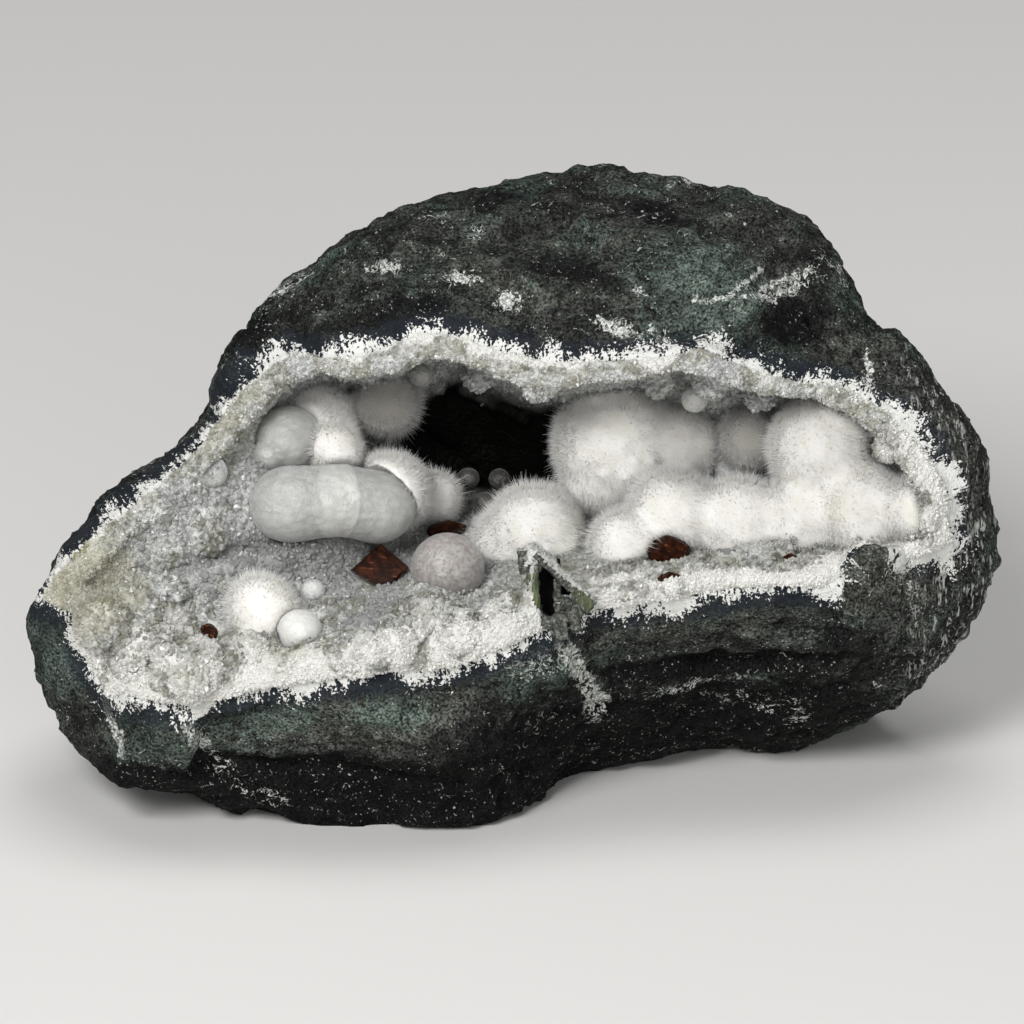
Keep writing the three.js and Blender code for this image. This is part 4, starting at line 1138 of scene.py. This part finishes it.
class GEODE_OT_brown(Operator):
    """Bevel the brown crystals and make them glassy"""
    bl_idname = "geode.brown"
    bl_label = "Brown crystals"

    def execute(self, context):
        settings = context.scene.geode_brown
        material = brown_material(settings)
        for name in BROWN_NODES:
            points, faces = cad_surface(name)
            mesh = bpy.data.meshes.new(name + "_crystal")
            mesh.from_pydata(points.tolist(), [], faces.tolist())
            work = bmesh.new()
            work.from_mesh(mesh)
            bmesh.ops.remove_doubles(work, verts=work.verts, dist=SAME_POINT)
            bmesh.ops.dissolve_limit(work, angle_limit=math.radians(4), verts=work.verts, edges=work.edges)
            if name == "brown_rhomb":
                bmesh.ops.delete(work, geom=work.verts, context="VERTS")
                front = to_stone(points)[:, 2].max()
                middle = np.mean([corner[:2] for corner in RHOMB_CORNERS.values()], axis=0)
                for across, up, back, shrink in RHOMB_SLABS:
                    for vert in bmesh.ops.create_cube(work, size=2)["verts"]:
                        x, y, behind = RHOMB_CORNERS[(vert.co.x > 0, vert.co.y > 0)]
                        wide, z = (shrink, front - behind - back) if vert.co.z > 0 else (1, front - RHOMB_DEPTH)
                        place = middle + (np.array([x, y]) - middle) * wide + (across, up)
                        vert.co = to_world([[*place, z]])[0]
            sharp = [e for e in work.edges if e.is_manifold and e.calc_face_angle(0) > math.radians(22)]
            bmesh.ops.bevel(work, geom=sharp, offset=settings.bevel, segments=2, profile=0.5, affect="EDGES",
                            material=-1, clamp_overlap=True)
            work.to_mesh(mesh)
            work.free()
            placed(name + "_crystal", mesh, material, [name], smooth=False)
        return {"FINISHED"}


class GEODE_OT_stage(Operator):
    """Add the pale floor, the soft lights and the camera"""
    bl_idname = "geode.stage"
    bl_label = "Stage"

    def execute(self, context):
        settings = context.scene.geode_stage
        work = bmesh.new()
        bmesh.ops.create_grid(work, x_segments=4, y_segments=4, size=4)
        mesh = bpy.data.meshes.new("floor")
        work.to_mesh(mesh)
        work.free()
        mesh.materials.append(floor_material(settings))
        linked("floor", mesh)
        middle = Vector((0, 0, 0.045))
        for name, place, size, power in (("key_light", (-0.45, -1.05, 0.95), 0.5, settings.key),
                                         ("fill_light", (0.35, -1.5, 0.5), 0.9, settings.fill),
                                         ("top_light", (0.1, 0.1, 1.4), 0.8, settings.top)):
            lamp = bpy.data.lights.new(name, "AREA")
            lamp.size, lamp.energy = size, power
            holder = linked(name, lamp)
            holder.location = place
            holder.rotation_euler = (middle - Vector(place)).to_track_quat("-Z", "Y").to_euler()
        world = bpy.data.worlds.new("studio")
        world.use_nodes = True
        join(world.node_tree.nodes["Background"], dict(Color=(0.95, 0.96, 1, 1), Strength=settings.world))
        context.scene.world = world
        context.scene.view_settings.view_transform = "Standard"
        look, up = Vector(MOUTH_OUT), Vector(MOUTH_UP)
        lens = bpy.data.cameras.new("camera")
        lens.sensor_width = SENSOR
        lens.lens = SENSOR * settings.distance / settings.field
        lens.clip_start, lens.clip_end = 0.05, 20
        camera = linked("camera", lens)
        camera.location = Vector(STAND / 1000) - up * CAMERA_DROP + look * settings.distance
        camera.rotation_euler = look.to_track_quat("Z", "Y").to_euler()
        context.scene.camera = camera
        return {"FINISHED"}


class GEODE_PT_panel(Panel):
    """The geode's pieces, one button each"""
    bl_label = "Okenite geode"
    bl_idname = "GEODE_PT_panel"
    bl_space_type = "VIEW_3D"
    bl_region_type = "UI"
    bl_category = "Geode"

    def draw(self, context):
        for name in STEPS:
            box = self.layout.box()
            group = getattr(context.scene, "geode_" + name)
            for key in type(group).__annotations__:
                box.prop(group, key)
            box.operator("geode." + name)


# The settings and the operator of each step, in the order in which they run.
STEPS = {
    "basalt": (GEODE_basalt, GEODE_OT_basalt), "crust": (GEODE_crust, GEODE_OT_crust),
    "cast": (GEODE_cast, GEODE_OT_cast), "okenite": (GEODE_okenite, GEODE_OT_okenite),
    "gyrolite": (GEODE_gyrolite, GEODE_OT_gyrolite), "brown": (GEODE_brown, GEODE_OT_brown),
    "stage": (GEODE_stage, GEODE_OT_stage),
}
CLASSES = (*(cls for step in STEPS.values() for cls in step), GEODE_PT_panel)


def register():
    for cls in CLASSES:
        bpy.utils.register_class(cls)
    for name, (group, _) in STEPS.items():
        setattr(bpy.types.Scene, "geode_" + name, PointerProperty(type=group))


def unregister():
    for name in STEPS:
        delattr(bpy.types.Scene, "geode_" + name)
    for cls in reversed(CLASSES):
        bpy.utils.unregister_class(cls)


def main():
    register()
    for name in STEPS:
        getattr(bpy.ops.geode, name)()


if __name__ == "__main__":
    main()
